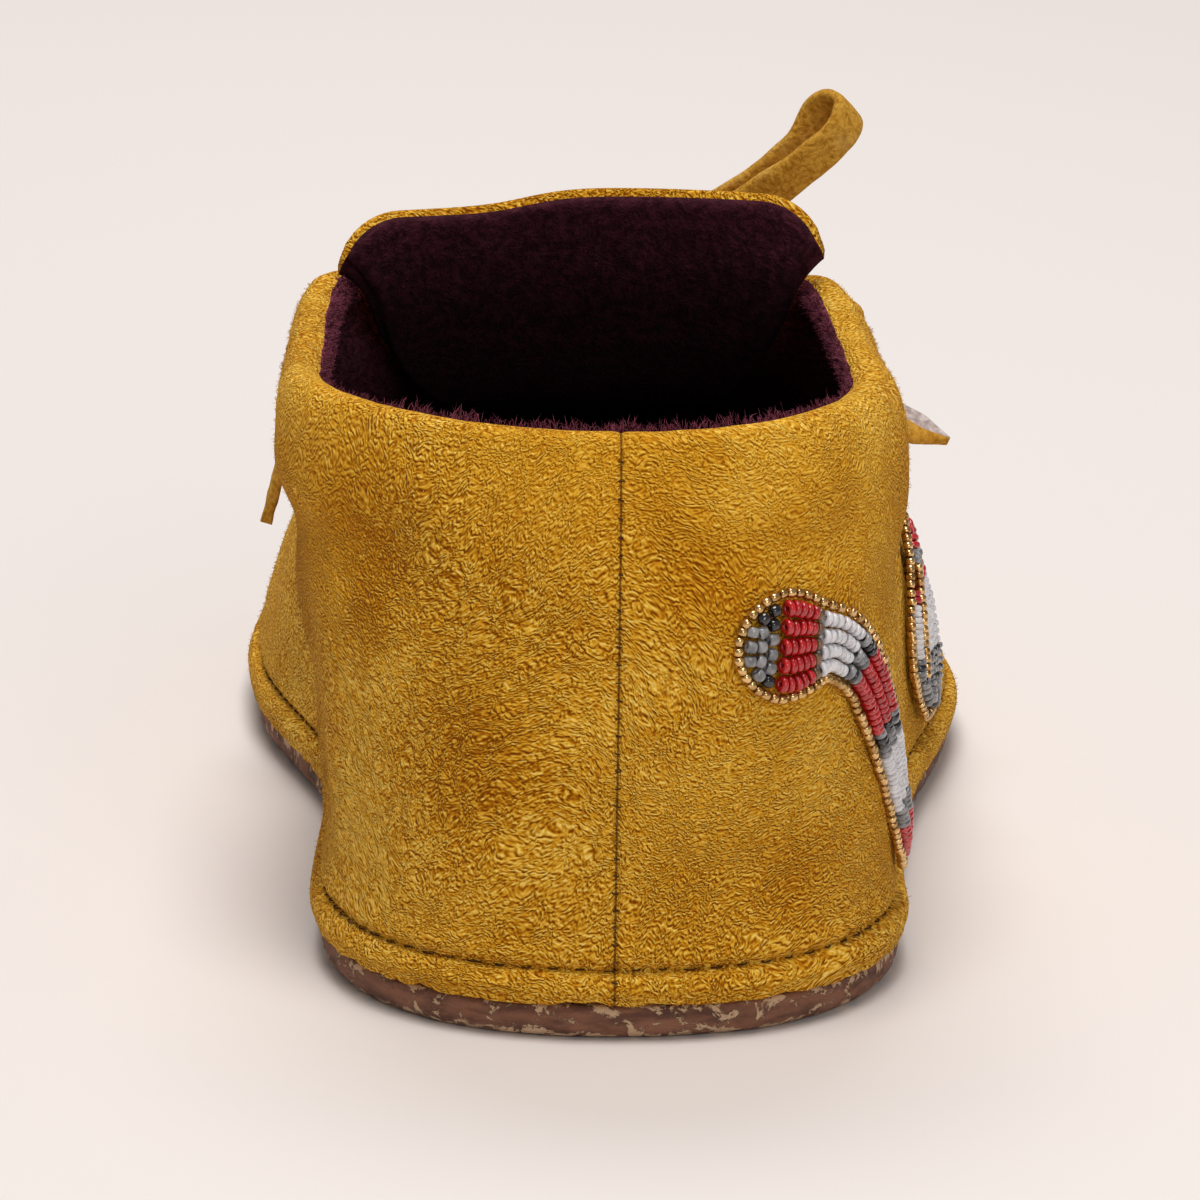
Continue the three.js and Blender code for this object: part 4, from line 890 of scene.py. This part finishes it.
tongue_front = tongue_grid(0.0, FRONT_INSET)
tongue_front += lumps(tongue_front, 14.0, 0.4, 4.0)[..., None] * np.array((0, 1, 0.3))
tongue_back = tongue_grid(TONGUE_THICKNESS, BACK_INSET)
wool_swell = lumps(tongue_back, 9.0, 0.5, 9.0) + lumps(tongue_back, 3.0, 0.25, 12.0)
off_strip = tongue_back[..., 2] - STRIP_HEIGHT - STRIP_SLOPE * tongue_back[..., 0]
throat_strip = STRIP_RISE * bell(off_strip, 1.2) * (np.abs(tongue_back[..., 0] - STRIP_MIDDLE) < STRIP_HALF)
tongue_back += (throat_strip + np.minimum(wool_swell, 0.3))[..., None] * np.array((0, -1, 0.2))
rim_grids = [tongue_front] + [tongue_grid(*step) for step in TONGUE_RIM] + [tongue_back]
tongue_rims = [rim_of(grid) for grid in rim_grids]
rim_top = tongue_rims[2][:, 2] > tongue_height(1.0) - RIM_HIDE_DEEP
rim_row = np.arange(len(tongue_rims) - 1)[:, None]
rim_finish = np.where(rim_top & (rim_row < RIM_HIDE_ROWS), 0, 1)
tongue_points, tongue_faces, tongue_kinds = weld((
    (tongue_front, False, False, 0), (tongue_back, False, True, 1), (np.stack(tongue_rims), True, True, rim_finish)))
tongue = make_piece("tongue_piece", tongue_points, tongue_faces, [suede, shaded_tongue_wool], tongue_kinds)
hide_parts("tongue")

pick_row = grain.integers(3, TONGUE_ROWS - 1, TONGUE_LOCKS)
tongue_pick = (pick_row, grain.integers(1, TONGUE_COLUMNS - 2, TONGUE_LOCKS))
tongue_step = tongue_back[tongue_pick[0] - 1, tongue_pick[1]] - tongue_back[tongue_pick]
tongue_wide = tongue_back[tongue_pick[0], tongue_pick[1] + 1] - tongue_back[tongue_pick]
tongue_spot = tongue_back[tongue_pick] + tongue_step * grain.uniform(0, 1, (TONGUE_LOCKS, 1))
tongue_spot = tongue_spot + tongue_wide * grain.uniform(0, 1, (TONGUE_LOCKS, 1))
tongue_way = unit(unit(np.cross(tongue_step, tongue_wide)) * -1.0 + grain.normal(0, 0.6, (TONGUE_LOCKS, 3)))
tongue_way[:, 1] = -np.abs(tongue_way[:, 1])
tongue_lock_points, tongue_lock_faces = hairs(tongue_spot, tongue_way, grain.normal(0, 1.1, (TONGUE_LOCKS, 3)),
                                              grain.uniform(0.5, 1.3, TONGUE_LOCKS), TONGUE_LOCK_THICK)
tongue_locks = make_piece("tongue_wool", tongue_lock_points, tongue_lock_faces, [shaded_tongue_wool])


# Beaded leaves: glass seed beads sewn to the hide in lanes that run along each leaf, in bands of red,
# white, grey and black. A string of small cut gold beads is couched down round each leaf.
BEAD_LONG, BEAD_STANDOFF, FIELD_SPREAD = 0.95, 0.5, 0.75
EDGE_BEAD, EDGE_BEAD_LONG, VEIN_LIFT = 0.78, 1.3, 1.1
CLUSTER_BEAD, CLUSTER_PITCH = (1.88, 1.47), 1.9
VEIN_ROOM, NARROWEST_FIELD, WIDEST_BEAD, LANE_STEP = 1.3, 1.0, 2.5, 0.3
# Sections of a bead, as shares of its length and width: place along the hole, and distance from it
SEED_BEAD = ((-0.38, 0.36), (-0.47, 0.52), (-0.49, 0.7), (-0.42, 0.88), (-0.22, 0.98), (0.0, 1.0), (0.22, 0.98),
             (0.42, 0.88), (0.49, 0.7), (0.47, 0.52), (0.38, 0.36))
CUT_BEAD = ((-0.42, 0.4), (-0.5, 0.62), (-0.36, 0.92), (0.0, 1.0), (0.36, 0.92), (0.5, 0.62), (0.42, 0.4))
# Rows of a leaf: share of its axis, distance round the sole, height and half-width
HEEL_LEAF = ((0, 15.8, 55, 5.4), (0.09, 20.8, 54.5, 5.7), (0.21, 28, 53.7, 3.3), (0.285, 31.8, 51.4, 2.9),
             (0.36, 35, 48, 2.6), (0.46, 38.2, 42.9, 2.6), (0.6, 42.4, 36, 2.6), (0.8, 48.9, 25.8, 2.3),
             (1, 56.5, 16.4, 1))
SIDE_LEAF = ((0, 139, 15.4, 3.4), (0.22, 140.4, 21.5, 8.8), (0.48, 141, 29, 9.4), (0.765, 140.6, 37.5, 6.4),
             (1, 139.8, 44, 2.2))
# Radius of the rounding at each end of a leaf, and the vein's place beside the axis, start and end
HEEL_ROUND, SIDE_ROUND, SIDE_VEIN = (5.6, 2.0), (3.4, 3.0), (6.0, 5.0, 24.0)
# Bands of a leaf: start, end, colour (dusk is grey and black mixed) and number of lanes
GLASS = ("red", "white", "grey", "black", "bronze")
HEEL_BANDS = ((4.4, 9.2, "red", 5), (9.2, 10.2, "bronze", 5), (10.2, 16.9, "white", 4), (16.9, 19.7, "dusk", 3),
              (19.7, 30.6, "red", 3), (30.6, 35.2, "dusk", 3), (35.2, 46.4, "white", 3), (46.4, 50.6, "grey", 2),
              (50.6, 58.6, "red", 2))
SIDE_BANDS = ((0.6, 4.0, "grey", 3), (4.0, 8.6, "dusk", 8), (8.6, 18.0, "white", 9), (18.0, 20.8, "red", 8),
              (20.8, 25.6, "grey", 6), (25.6, 28.2, "red", 3))
HEEL_CLUSTER = ((0.0, ("grey", "grey", "grey")), (1.5, ("grey", "grey", "grey", "grey", "black")),
                (3.05, ("black", "grey", "grey", "grey", "black", "black")))


def leaf_plan(rows, start_round, end_round):
    """A leaf's length, its half-width at a distance, and a spot along and beside its axis."""
    way, girth, height, half = (np.array(column, float) for column in zip(*rows))
    axis_girth, axis_height, axis_half = (through(way, column, "both") for column in (girth, height, half))
    length = np.hypot(np.diff(girth), np.diff(height)).sum()

    def half_at(distance):
        rounding = lambda off, radius: np.sqrt(np.maximum(0, 1 - np.maximum(0, 1 - off / radius) ** 2))
        return axis_half(distance / length) * rounding(distance, start_round) * rounding(length - distance, end_round)

    def spot(distance, beside, out):
        at = np.clip(distance / length, 0, 1)
        ahead, behind = np.minimum(at + 0.02, 1), np.maximum(at - 0.02, 0)
        run, climb = axis_girth(ahead) - axis_girth(behind), axis_height(ahead) - axis_height(behind)
        size = np.hypot(run, climb)
        run, climb = run / size, climb / size
        beyond = distance - at * length
        g = axis_girth(at) + beyond * run - beside * climb
        h = axis_height(at) + beyond * climb + beside * run
        return skin_point(g, share_at_height(g, h), out)

    return length, half_at, spot


def bead_mesh(spots, holes, ups, longs, acrosses, section, sides):
    """Beads as one mesh: short barrels of one section with a hole, each along its own thread."""
    holes, ups, section = unit(holes), unit(ups), np.array(section)
    beside = unit(np.cross(holes, ups))
    radial = spokes(beside, np.cross(beside, holes), sides)
    rings = (spots[:, None, None] + holes[:, None, None] * (section[:, 0, None] * longs[:, None, None])[..., None]
             + radial[:, None] * (section[:, 1, None] * acrosses[:, None, None] / 2)[..., None])
    here, onward = np.arange(sides), (np.arange(sides) + 1) % sides
    last = (len(section) - 1) * sides
    hole = np.stack((here + last, onward + last, onward, here), axis=-1)
    faces = np.concatenate((grid_faces(len(section), sides, closed=True), hole))
    return rings.reshape(-1, 3), repeated(faces, len(spots), len(section) * sides), len(faces)


def bead_ways(spot, places, onward, lift, slack):
    """Where beads lie on a leaf, which way their threads run, a little loose, and which way is up."""
    centre = spot(*places.T, lift)
    holes = unit(spot(*onward.T, lift) - centre)
    return centre, holes + grain.normal(0, slack, holes.shape), spot(*places.T, lift + 0.5) - centre


def bead_field(name, node, rows, rounds, bands, cluster=(), vein=()):
    """The lanes of one leaf: bands of colour, a loose cluster at the round end, and a gap for the gold vein."""
    _, half_at, spot = leaf_plan(rows, *rounds)
    places, tones, wide, longs = [], [], [], []
    for start, stop, tone, lanes in bands:
        count = max(1, int(round((stop - start) / BEAD_LONG)))
        for lane in range(lanes):
            for k in range(count):
                distance = start + (k + 0.5) * (stop - start) / count
                half = half_at(distance) + FIELD_SPREAD
                beside = ((2 * lane + 1) / lanes - 1) * half
                on_vein = any(abs(beside - side) < VEIN_ROOM and low < distance < high for side, low, high in vein)
                if half < NARROWEST_FIELD or on_vein:
                    continue
                places.append((distance, beside))
                wide.append(min(2 * half / lanes, WIDEST_BEAD))
                longs.append(0.99 * BEAD_LONG)
                tones.append(grain.choice(("grey", "black")) if tone == "dusk" else tone)
    for distance, column in cluster:
        for row, tone in enumerate(column):
            places.append((distance, (row - (len(column) - 1) / 2) * CLUSTER_PITCH))
            wide.append(CLUSTER_BEAD[0])
            longs.append(CLUSTER_BEAD[1])
            tones.append(tone)
    places, wide, longs = np.array(places), np.array(wide), np.array(longs)
    places = places + grain.normal(0, 0.045, places.shape)
    lift = BEAD_STANDOFF + wide / 2 + grain.uniform(-0.06, 0.1, len(wide))
    distance, beside = places.T
    ahead = half_at(distance + LANE_STEP) / np.maximum(half_at(distance), 0.4)
    onward = np.stack((distance + LANE_STEP, beside * ahead), axis=-1)
    centre, holes, ups = bead_ways(spot, places, onward, lift, 0.05)
    points, faces, each = bead_mesh(centre, holes, ups, longs * grain.uniform(0.92, 1.03, len(wide)), wide * 0.985,
                                    SEED_BEAD, sides=14)
    kinds = np.repeat([GLASS.index(tone) for tone in tones], each)
    field = make_piece(name, points, faces, [glass[tone] for tone in GLASS], kinds)
    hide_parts(node)


def gold_edge(name, node, rows, rounds, extra):
    """The couched string of gold beads round a leaf, with a vein where extra gives one."""
    length, half_at, spot = leaf_plan(rows, *rounds)
    stations = length * (1 - np.cos(np.linspace(0, math.pi, 140))) / 2
    border = np.concatenate((np.stack((stations, half_at(stations)), axis=-1)[:-1],
                             np.stack((stations, -half_at(stations)), axis=-1)[:0:-1]))
    run = unit(np.roll(border, -1, axis=0) - np.roll(border, 1, axis=0))
    border = border + np.stack((-run[:, 1], run[:, 0]), axis=-1) * (EDGE_BEAD + FIELD_SPREAD)
    lines = [np.concatenate((border, border[:1]))] + [np.array(line, float) for line in extra]
    places, aims = [], []
    for line in lines:
        steps = np.concatenate(((0,), np.cumsum(np.linalg.norm(np.diff(line, axis=0), axis=-1))))
        count = int(round(steps[-1] / EDGE_BEAD_LONG))
        marks = (np.arange(count) + 0.5) * steps[-1] / count
        at = lambda where: np.stack([np.interp(where, steps, line[:, column]) for column in (0, 1)], axis=-1)
        places.append(at(marks))
        aims.append(at(np.minimum(marks + 0.4, steps[-1])) - at(np.maximum(marks - 0.4, 0)))
    first_extra = len(places[0])
    places, aims = np.concatenate(places), np.concatenate(aims)
    places = places + grain.normal(0, 0.05, places.shape)
    lift = BEAD_STANDOFF + EDGE_BEAD + grain.uniform(-0.08, 0.12, len(places))
    lift[first_extra:] += VEIN_LIFT
    centre, holes, ups = bead_ways(spot, places, places + aims, lift, 0.12)
    points, faces, _ = bead_mesh(centre, holes, ups, EDGE_BEAD_LONG * grain.uniform(0.84, 1.0, len(places)),
                                 2 * EDGE_BEAD * grain.uniform(0.9, 1.0, len(places)), CUT_BEAD, sides=9)
    edge = make_piece(name, points, faces, [gold])
    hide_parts(node)


def bead_glass(name, colour, deep):
    fixed = {"Specular IOR Level": 0.6, "Coat Weight": 0.5, "Coat Roughness": 0.05}
    return finish_of(name, speckled(700, 1, deep, colour), 0.12,
                     lambda here: here.speckle(1500, 1), depth=0.00008, strength=0.5, fixed=fixed)


glass = {
    "red": bead_glass("red_glass", (0.56, 0.012, 0.016), (0.36, 0.006, 0.009)),
    "white": bead_glass("white_glass", (0.76, 0.75, 0.77), (0.60, 0.59, 0.62)),
    "grey": bead_glass("grey_glass", (0.31, 0.305, 0.31), (0.13, 0.13, 0.135)),
    "black": bead_glass("black_glass", (0.016, 0.016, 0.02), (0.008, 0.008, 0.01)),
    "bronze": bead_glass("bronze_glass", (0.22, 0.11, 0.045), (0.10, 0.05, 0.02)),
}
gold = finish_of("gold_bead_metal", speckled(500, 2, (0.40, 0.22, 0.07), (0.84, 0.56, 0.25)),
                 lambda here: 0.14 + 0.16 * here.speckle(900, 1), fixed={"Metallic": 0.95})

bead_field("beads_heel", "bead_field_heel", HEEL_LEAF, HEEL_ROUND, HEEL_BANDS, HEEL_CLUSTER)
gold_edge("gold_beads_heel", "bead_edge_heel", HEEL_LEAF, HEEL_ROUND, ())
bead_field("beads_side", "bead_field_side", SIDE_LEAF, SIDE_ROUND, SIDE_BANDS, vein=(SIDE_VEIN,))
gold_edge("gold_beads_side", "bead_edge_side", SIDE_LEAF, SIDE_ROUND,
          ([(distance, SIDE_VEIN[0]) for distance in SIDE_VEIN[1:]],))


# Thong: one flat strip of the same suede, drawn through a punched hole at each front corner of the
# collar, crossed over the tongue and tied in a bow. One loop stands up, and the cut ends hang free.
# Each route gives the spots that the strip passes and the way that its face looks there.
THONG_WIDTH, THONG_THICKNESS = 6.0, 1.8
THONG_ROWS, THONG_SIDES = 90, 16
POINT_LONG, POINT_WIDE, POINT_SLANT = 5.0, 0.12, 0.2
PALE_FROM, PALE_SIDES = 0.72, (4, 5, 6, 7, 8)
NAP_DEEP, NAP_PALE, NAP_RUBBED = (0.36, 0.155, 0.012), (0.60, 0.32, 0.045), (0.66, 0.42, 0.12)
CORE_DEEP, CORE_PALE = (0.34, 0.27, 0.25), (0.62, 0.55, 0.54)
LACE_BAR = (((36.9, 113.5, 74.6), (0.77, 0.49, 0.4)), ((39.1, 114.9, 75.4), (0.77, 0.49, 0.4)),
            ((35.6, 118.8, 77.6), (0.6, 0.55, 0.6)), ((28.6, 121, 79.5), (0.4, 0.7, 0.6)),
            ((14, 118.6, 80.6), (0.1, 0.9, 0.4)), ((-1, 116.6, 81), (0, 0.93, 0.36)),
            ((-16, 118.5, 80.5), (-0.1, 0.9, 0.4)), ((-30.6, 121, 79.3), (-0.4, 0.7, 0.6)),
            ((-37.8, 118.8, 77), (-0.6, 0.55, 0.6)), ((-42, 115, 75.2), (-0.78, 0.6, 0.19)),
            ((-39.9, 113.4, 74.8), (-0.78, 0.6, 0.19)))
LACE_LOOP_OUTER = (((4.1, 120.7, 83.7), (0.3, -0.92, -0.25)), ((13.5, 118.4, 88.6), (0.3, -0.95, -0.15)),
                   ((23.5, 116, 94.4), (0.3, -0.95, -0.1)), ((31.7, 114.6, 100.8), (0.35, -0.93, -0.05)),
                   ((36, 115.4, 105), (0.6, -0.75, 0.1)), ((36.8, 117.8, 107.6), (0.75, 0, 0.66)),
                   ((33.8, 120.6, 107.4), (0.1, 0.9, 0.45)), ((30, 121.8, 101.6), (-0.35, 0.9, 0.3)),
                   ((21.6, 122.2, 94), (-0.35, 0.9, 0.3)), ((3.2, 122.6, 86.2), (-0.4, 0.85, 0.35)))
LACE_LOOP_INNER = (((-6.1, 120.5, 85.3), (-0.1, 0.1, 0.97)), ((-15.5, 123.5, 83.2), (-0.2, 0.1, 0.97)),
                   ((-25, 128.6, 79), (-0.45, 0.2, 0.87)), ((-32, 133.6, 72.5), (-0.6, 0.4, 0.69)),
                   ((-35.5, 138, 66.5), (-0.75, 0.65, 0.1)), ((-33.8, 140.6, 64.4), (-0.3, 0.6, -0.75)),
                   ((-27.5, 138.5, 66.2), (0.2, 0.2, -0.96)), ((-19.5, 133.5, 70.6), (0.3, 0.1, -0.94)),
                   ((-11.5, 128.5, 74), (0.3, 0.1, -0.94)), ((-4.3, 124.8, 77.3), (0.4, -0.1, -0.9)))
LACE_END_OUTER = (((4, 123.4, 79.4), (0.1, 0.3, 0.95)), ((14, 126.5, 75), (0.2, 0.3, 0.93)),
                  ((25, 128, 71.6), (0.35, 0.2, 0.9)), ((35, 127.5, 67), (0.5, -0.1, 0.85)),
                  ((44.5, 125.5, 60), (0.45, -0.5, 0.74)), ((53, 122.5, 55.4), (0.4, -0.75, 0.52)))
LACE_END_INNER = (((-7, 123, 81.2), (-0.1, 0.3, 0.95)), ((-16, 125, 76.8), (-0.3, 0.2, 0.93)),
                  ((-27, 125.8, 74.8), (-0.4, 0.1, 0.9)), ((-38, 125.2, 68.5), (-0.65, 0, 0.75)),
                  ((-45.4, 123.6, 57.4), (-0.85, 0, 0.5)), ((-49.7, 121.5, 43), (-0.97, 0, 0.2)))


def drawn_line(spots, count):
    """The smooth line that a strip follows through the given points."""
    spots = np.asarray(spots, float)
    padded = np.concatenate((2 * spots[:1] - spots[1:2], spots, 2 * spots[-1:] - spots[-2:-1]))
    line = []
    for place in np.linspace(0, len(spots) - 1, count):
        i = min(int(place), len(spots) - 2)
        t = place - i
        a, b, c, d = padded[i:i + 4]
        first, second, third = (max(np.linalg.norm(q - p), 1e-6) ** 0.5 for p, q in ((a, b), (b, c), (c, d)))
        leave = ((b - a) / first - (c - a) / (first + second) + (c - b) / second) * second
        arrive = ((c - b) / second - (d - b) / (second + third) + (d - c) / third) * second
        square, cube = 3 * (c - b) - 2 * leave - arrive, 2 * (b - c) + leave + arrive
        line.append(b + leave * t + square * t * t + cube * t ** 3)
    return np.array(line)


def thong_colour(here):
    worms = here.shaken(0.002, 300).speckle(1300, 3, 0.6)
    rubbed = here.speckle(120, 3)
    nap = worms.band(0.3, 0.66).blend(NAP_DEEP, NAP_PALE)
    return (0.5 * rubbed.band(0.5, 0.72)).blend(nap, NAP_RUBBED)


def thong_height(here):
    return here.shaken(0.002, 300).speckle(900, 3, 0.6) + 0.3 * here.speckle(2400, 2)


thong_suede = finish_of("thong_suede", thong_colour, 0.95, thong_height, depth=0.0006, strength=0.8, fixed=SUEDE_FIXED)
cut_edge = finish_of("thong_cut_edge", speckled(900, 2, CORE_DEEP, CORE_PALE), 0.9,
                     lambda here: here.speckle(1500, 2), depth=0.0004, strength=0.7, fixed={"Specular IOR Level": 0.15})


def thong(name, node, route, point_end=False, pale_cut=False):
    """A flat strip with rounded edges along a route.

    A bare end is cut to a slanting point, and one edge near it may show the pale core of the hide.
    """
    line = drawn_line([spot for spot, face in route], THONG_ROWS)
    face_way = drawn_line([face for spot, face in route], THONG_ROWS)
    along = unit(np.gradient(line, axis=0))
    wide = unit(np.cross(along, face_way))
    thick = np.cross(wide, along)
    turns = np.arange(THONG_SIDES) * 2 * math.pi / THONG_SIDES
    squared = lambda wave, power: np.sign(wave) * np.abs(wave) ** power
    flat = np.stack((squared(np.cos(turns), 0.35), squared(np.sin(turns), 0.6)), axis=-1)
    reach = np.concatenate(((0,), np.cumsum(np.linalg.norm(np.diff(line, axis=0), axis=-1))))
    width = THONG_WIDTH / 2 * (1 + 0.05 * np.sin(reach / 3.1) + 0.03 * np.sin(reach / 1.3 + 1))
    slant = np.zeros(THONG_ROWS)
    if point_end:
        taper = np.clip(POINT_WIDE + (reach[-1] - reach) / POINT_LONG, 0, 1)
        width = width * taper
        slant = -THONG_WIDTH * POINT_SLANT * (1 - taper)
    points = (line[:, None] + wide[:, None] * (flat[None, :, :1] * width[:, None, None] + slant[:, None, None])
              + thick[:, None] * flat[None, :, 1:] * THONG_THICKNESS / 2)
    points = points + thick[:, None] * lumps(points, 2.2, 0.16, 7.0)[..., None]
    faces = grid_faces(THONG_ROWS, THONG_SIDES, closed=True).tolist()
    row, side = np.divmod(np.arange(len(faces)), THONG_SIDES)
    on_cut = pale_cut & (row >= PALE_FROM * THONG_ROWS) & np.isin(side, PALE_SIDES)
    start, end = np.arange(THONG_SIDES)[::-1], np.arange(THONG_SIDES) + (THONG_ROWS - 1) * THONG_SIDES
    strip = make_piece(name, points.reshape(-1, 3), faces + [start.tolist(), end.tolist()], [thong_suede, cut_edge],
                       np.append(on_cut, (False, False)))
    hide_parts(node)
    return strip, line, float(reach[-1])


thong("thong_bar", "lace_bar", LACE_BAR)
for name, node, route, far_end, pale in (
        ("bow_loop_outer", "lace_loop_outer", LACE_LOOP_OUTER, "object", False),
        ("bow_loop_inner", "lace_loop_inner", LACE_LOOP_INNER, "object", False),
        ("bow_end_outer", "lace_end_outer", LACE_END_OUTER, "bare", True),
        ("bow_end_inner", "lace_end_inner", LACE_END_INNER, "bare", False)):
    strip, line, long = thong(name, node, route, far_end == "bare", pale)
    tuple(in_frame(line[0]))
    in_frame(line).tolist()


# Knot: the strip's middle turn, drawn down over the crossing of the bow's legs, with a fold on each
# side of it. It leans a little with the standing loop.
KNOT_SPOT, KNOT_SIZE = np.array((-1, 122, 81.5)), np.array((11, 8, 9))
KNOT_ROWS, KNOT_SIDES, KNOT_LEAN = 25, 32, 0.22
FOLD_DEPTH, FOLD_AT, FOLD_WIDE = 0.2, 0.42, 0.12
knot_turn = np.linspace(0, 2 * math.pi, KNOT_SIDES + 1)[:-1]
knot_rows = []
for share in np.linspace(-1, 1, KNOT_ROWS):
    girth = max(0.0, 1 - share * share) ** 0.35 * (1 - FOLD_DEPTH * bell(abs(share) - FOLD_AT, FOLD_WIDE))
    row = np.stack((np.full(KNOT_SIDES, share), np.cos(knot_turn) * girth, np.sin(knot_turn) * girth), axis=-1)
    row = row * KNOT_SIZE / 2
    row[:, 0] += KNOT_LEAN * row[:, 2]
    knot_rows.append(KNOT_SPOT + row)
knot_points, knot_faces, _ = weld(((np.stack(knot_rows), True, False, 0),))
knot = make_piece("bow_knot", knot_points, knot_faces, [thong_suede])
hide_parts("lace_knot")


# Floor and light: a plain pale table under a large soft light over the heel and one over the far table,
# with a weaker light from the camera's side and a faint even glow all round.
TABLE_HALF = 6.0
TABLE_PALE, TABLE_PALEST = (0.80, 0.752, 0.728), (0.82, 0.772, 0.748)
pale_table = finish_of("pale_table", lambda here: here.speckle(3, 0).blend(TABLE_PALE, TABLE_PALEST), 0.8,
                       fixed={"Specular IOR Level": 0.2})
floor_mesh = bpy.data.meshes.new("floor")
corners = [(x * TABLE_HALF, y * TABLE_HALF, 0) for x, y in ((-1, -1), (1, -1), (1, 1), (-1, 1))]
floor_mesh.from_pydata(corners, [], [(0, 1, 2, 3)])
floor_mesh.materials.append(pale_table)
floor = bpy.data.objects.new("floor", floor_mesh)
bpy.context.scene.collection.objects.link(floor)


def soft_light(name, spot, target, size, power, colour):
    lamp = bpy.data.objects.new(name, bpy.data.lights.new(name, "AREA"))
    lamp.data.shape = "DISK"
    lamp.data.size, lamp.data.energy, lamp.data.color = size, power, colour
    lamp.location = spot
    lamp.rotation_euler = (Vector(target) - Vector(spot)).to_track_quat("-Z", "Y").to_euler()
    bpy.context.scene.collection.objects.link(lamp)


soft_light("overhead", (-0.02, -0.44, 1.6), (0, -0.02, 0), 0.8, 16, (1.0, 0.98, 0.96))
soft_light("far", (-0.1, 1.05, 1.6), (0, 1.0, 0), 1.1, 15, (1.0, 0.98, 0.97))
soft_light("camera_side", (0.4, -1.4, 0.6), (0, -0.05, 0.04), 0.7, 4.5, (1.0, 0.97, 0.94))
world = bpy.data.worlds.new("studio")
world.use_nodes = True
glow = world.node_tree.nodes["Background"].inputs
glow["Color"].default_value, glow["Strength"].default_value = (1.0, 0.965, 0.94, 1), 0.24
bpy.context.scene.world = world
bpy.context.scene.view_settings.view_transform = "Standard"
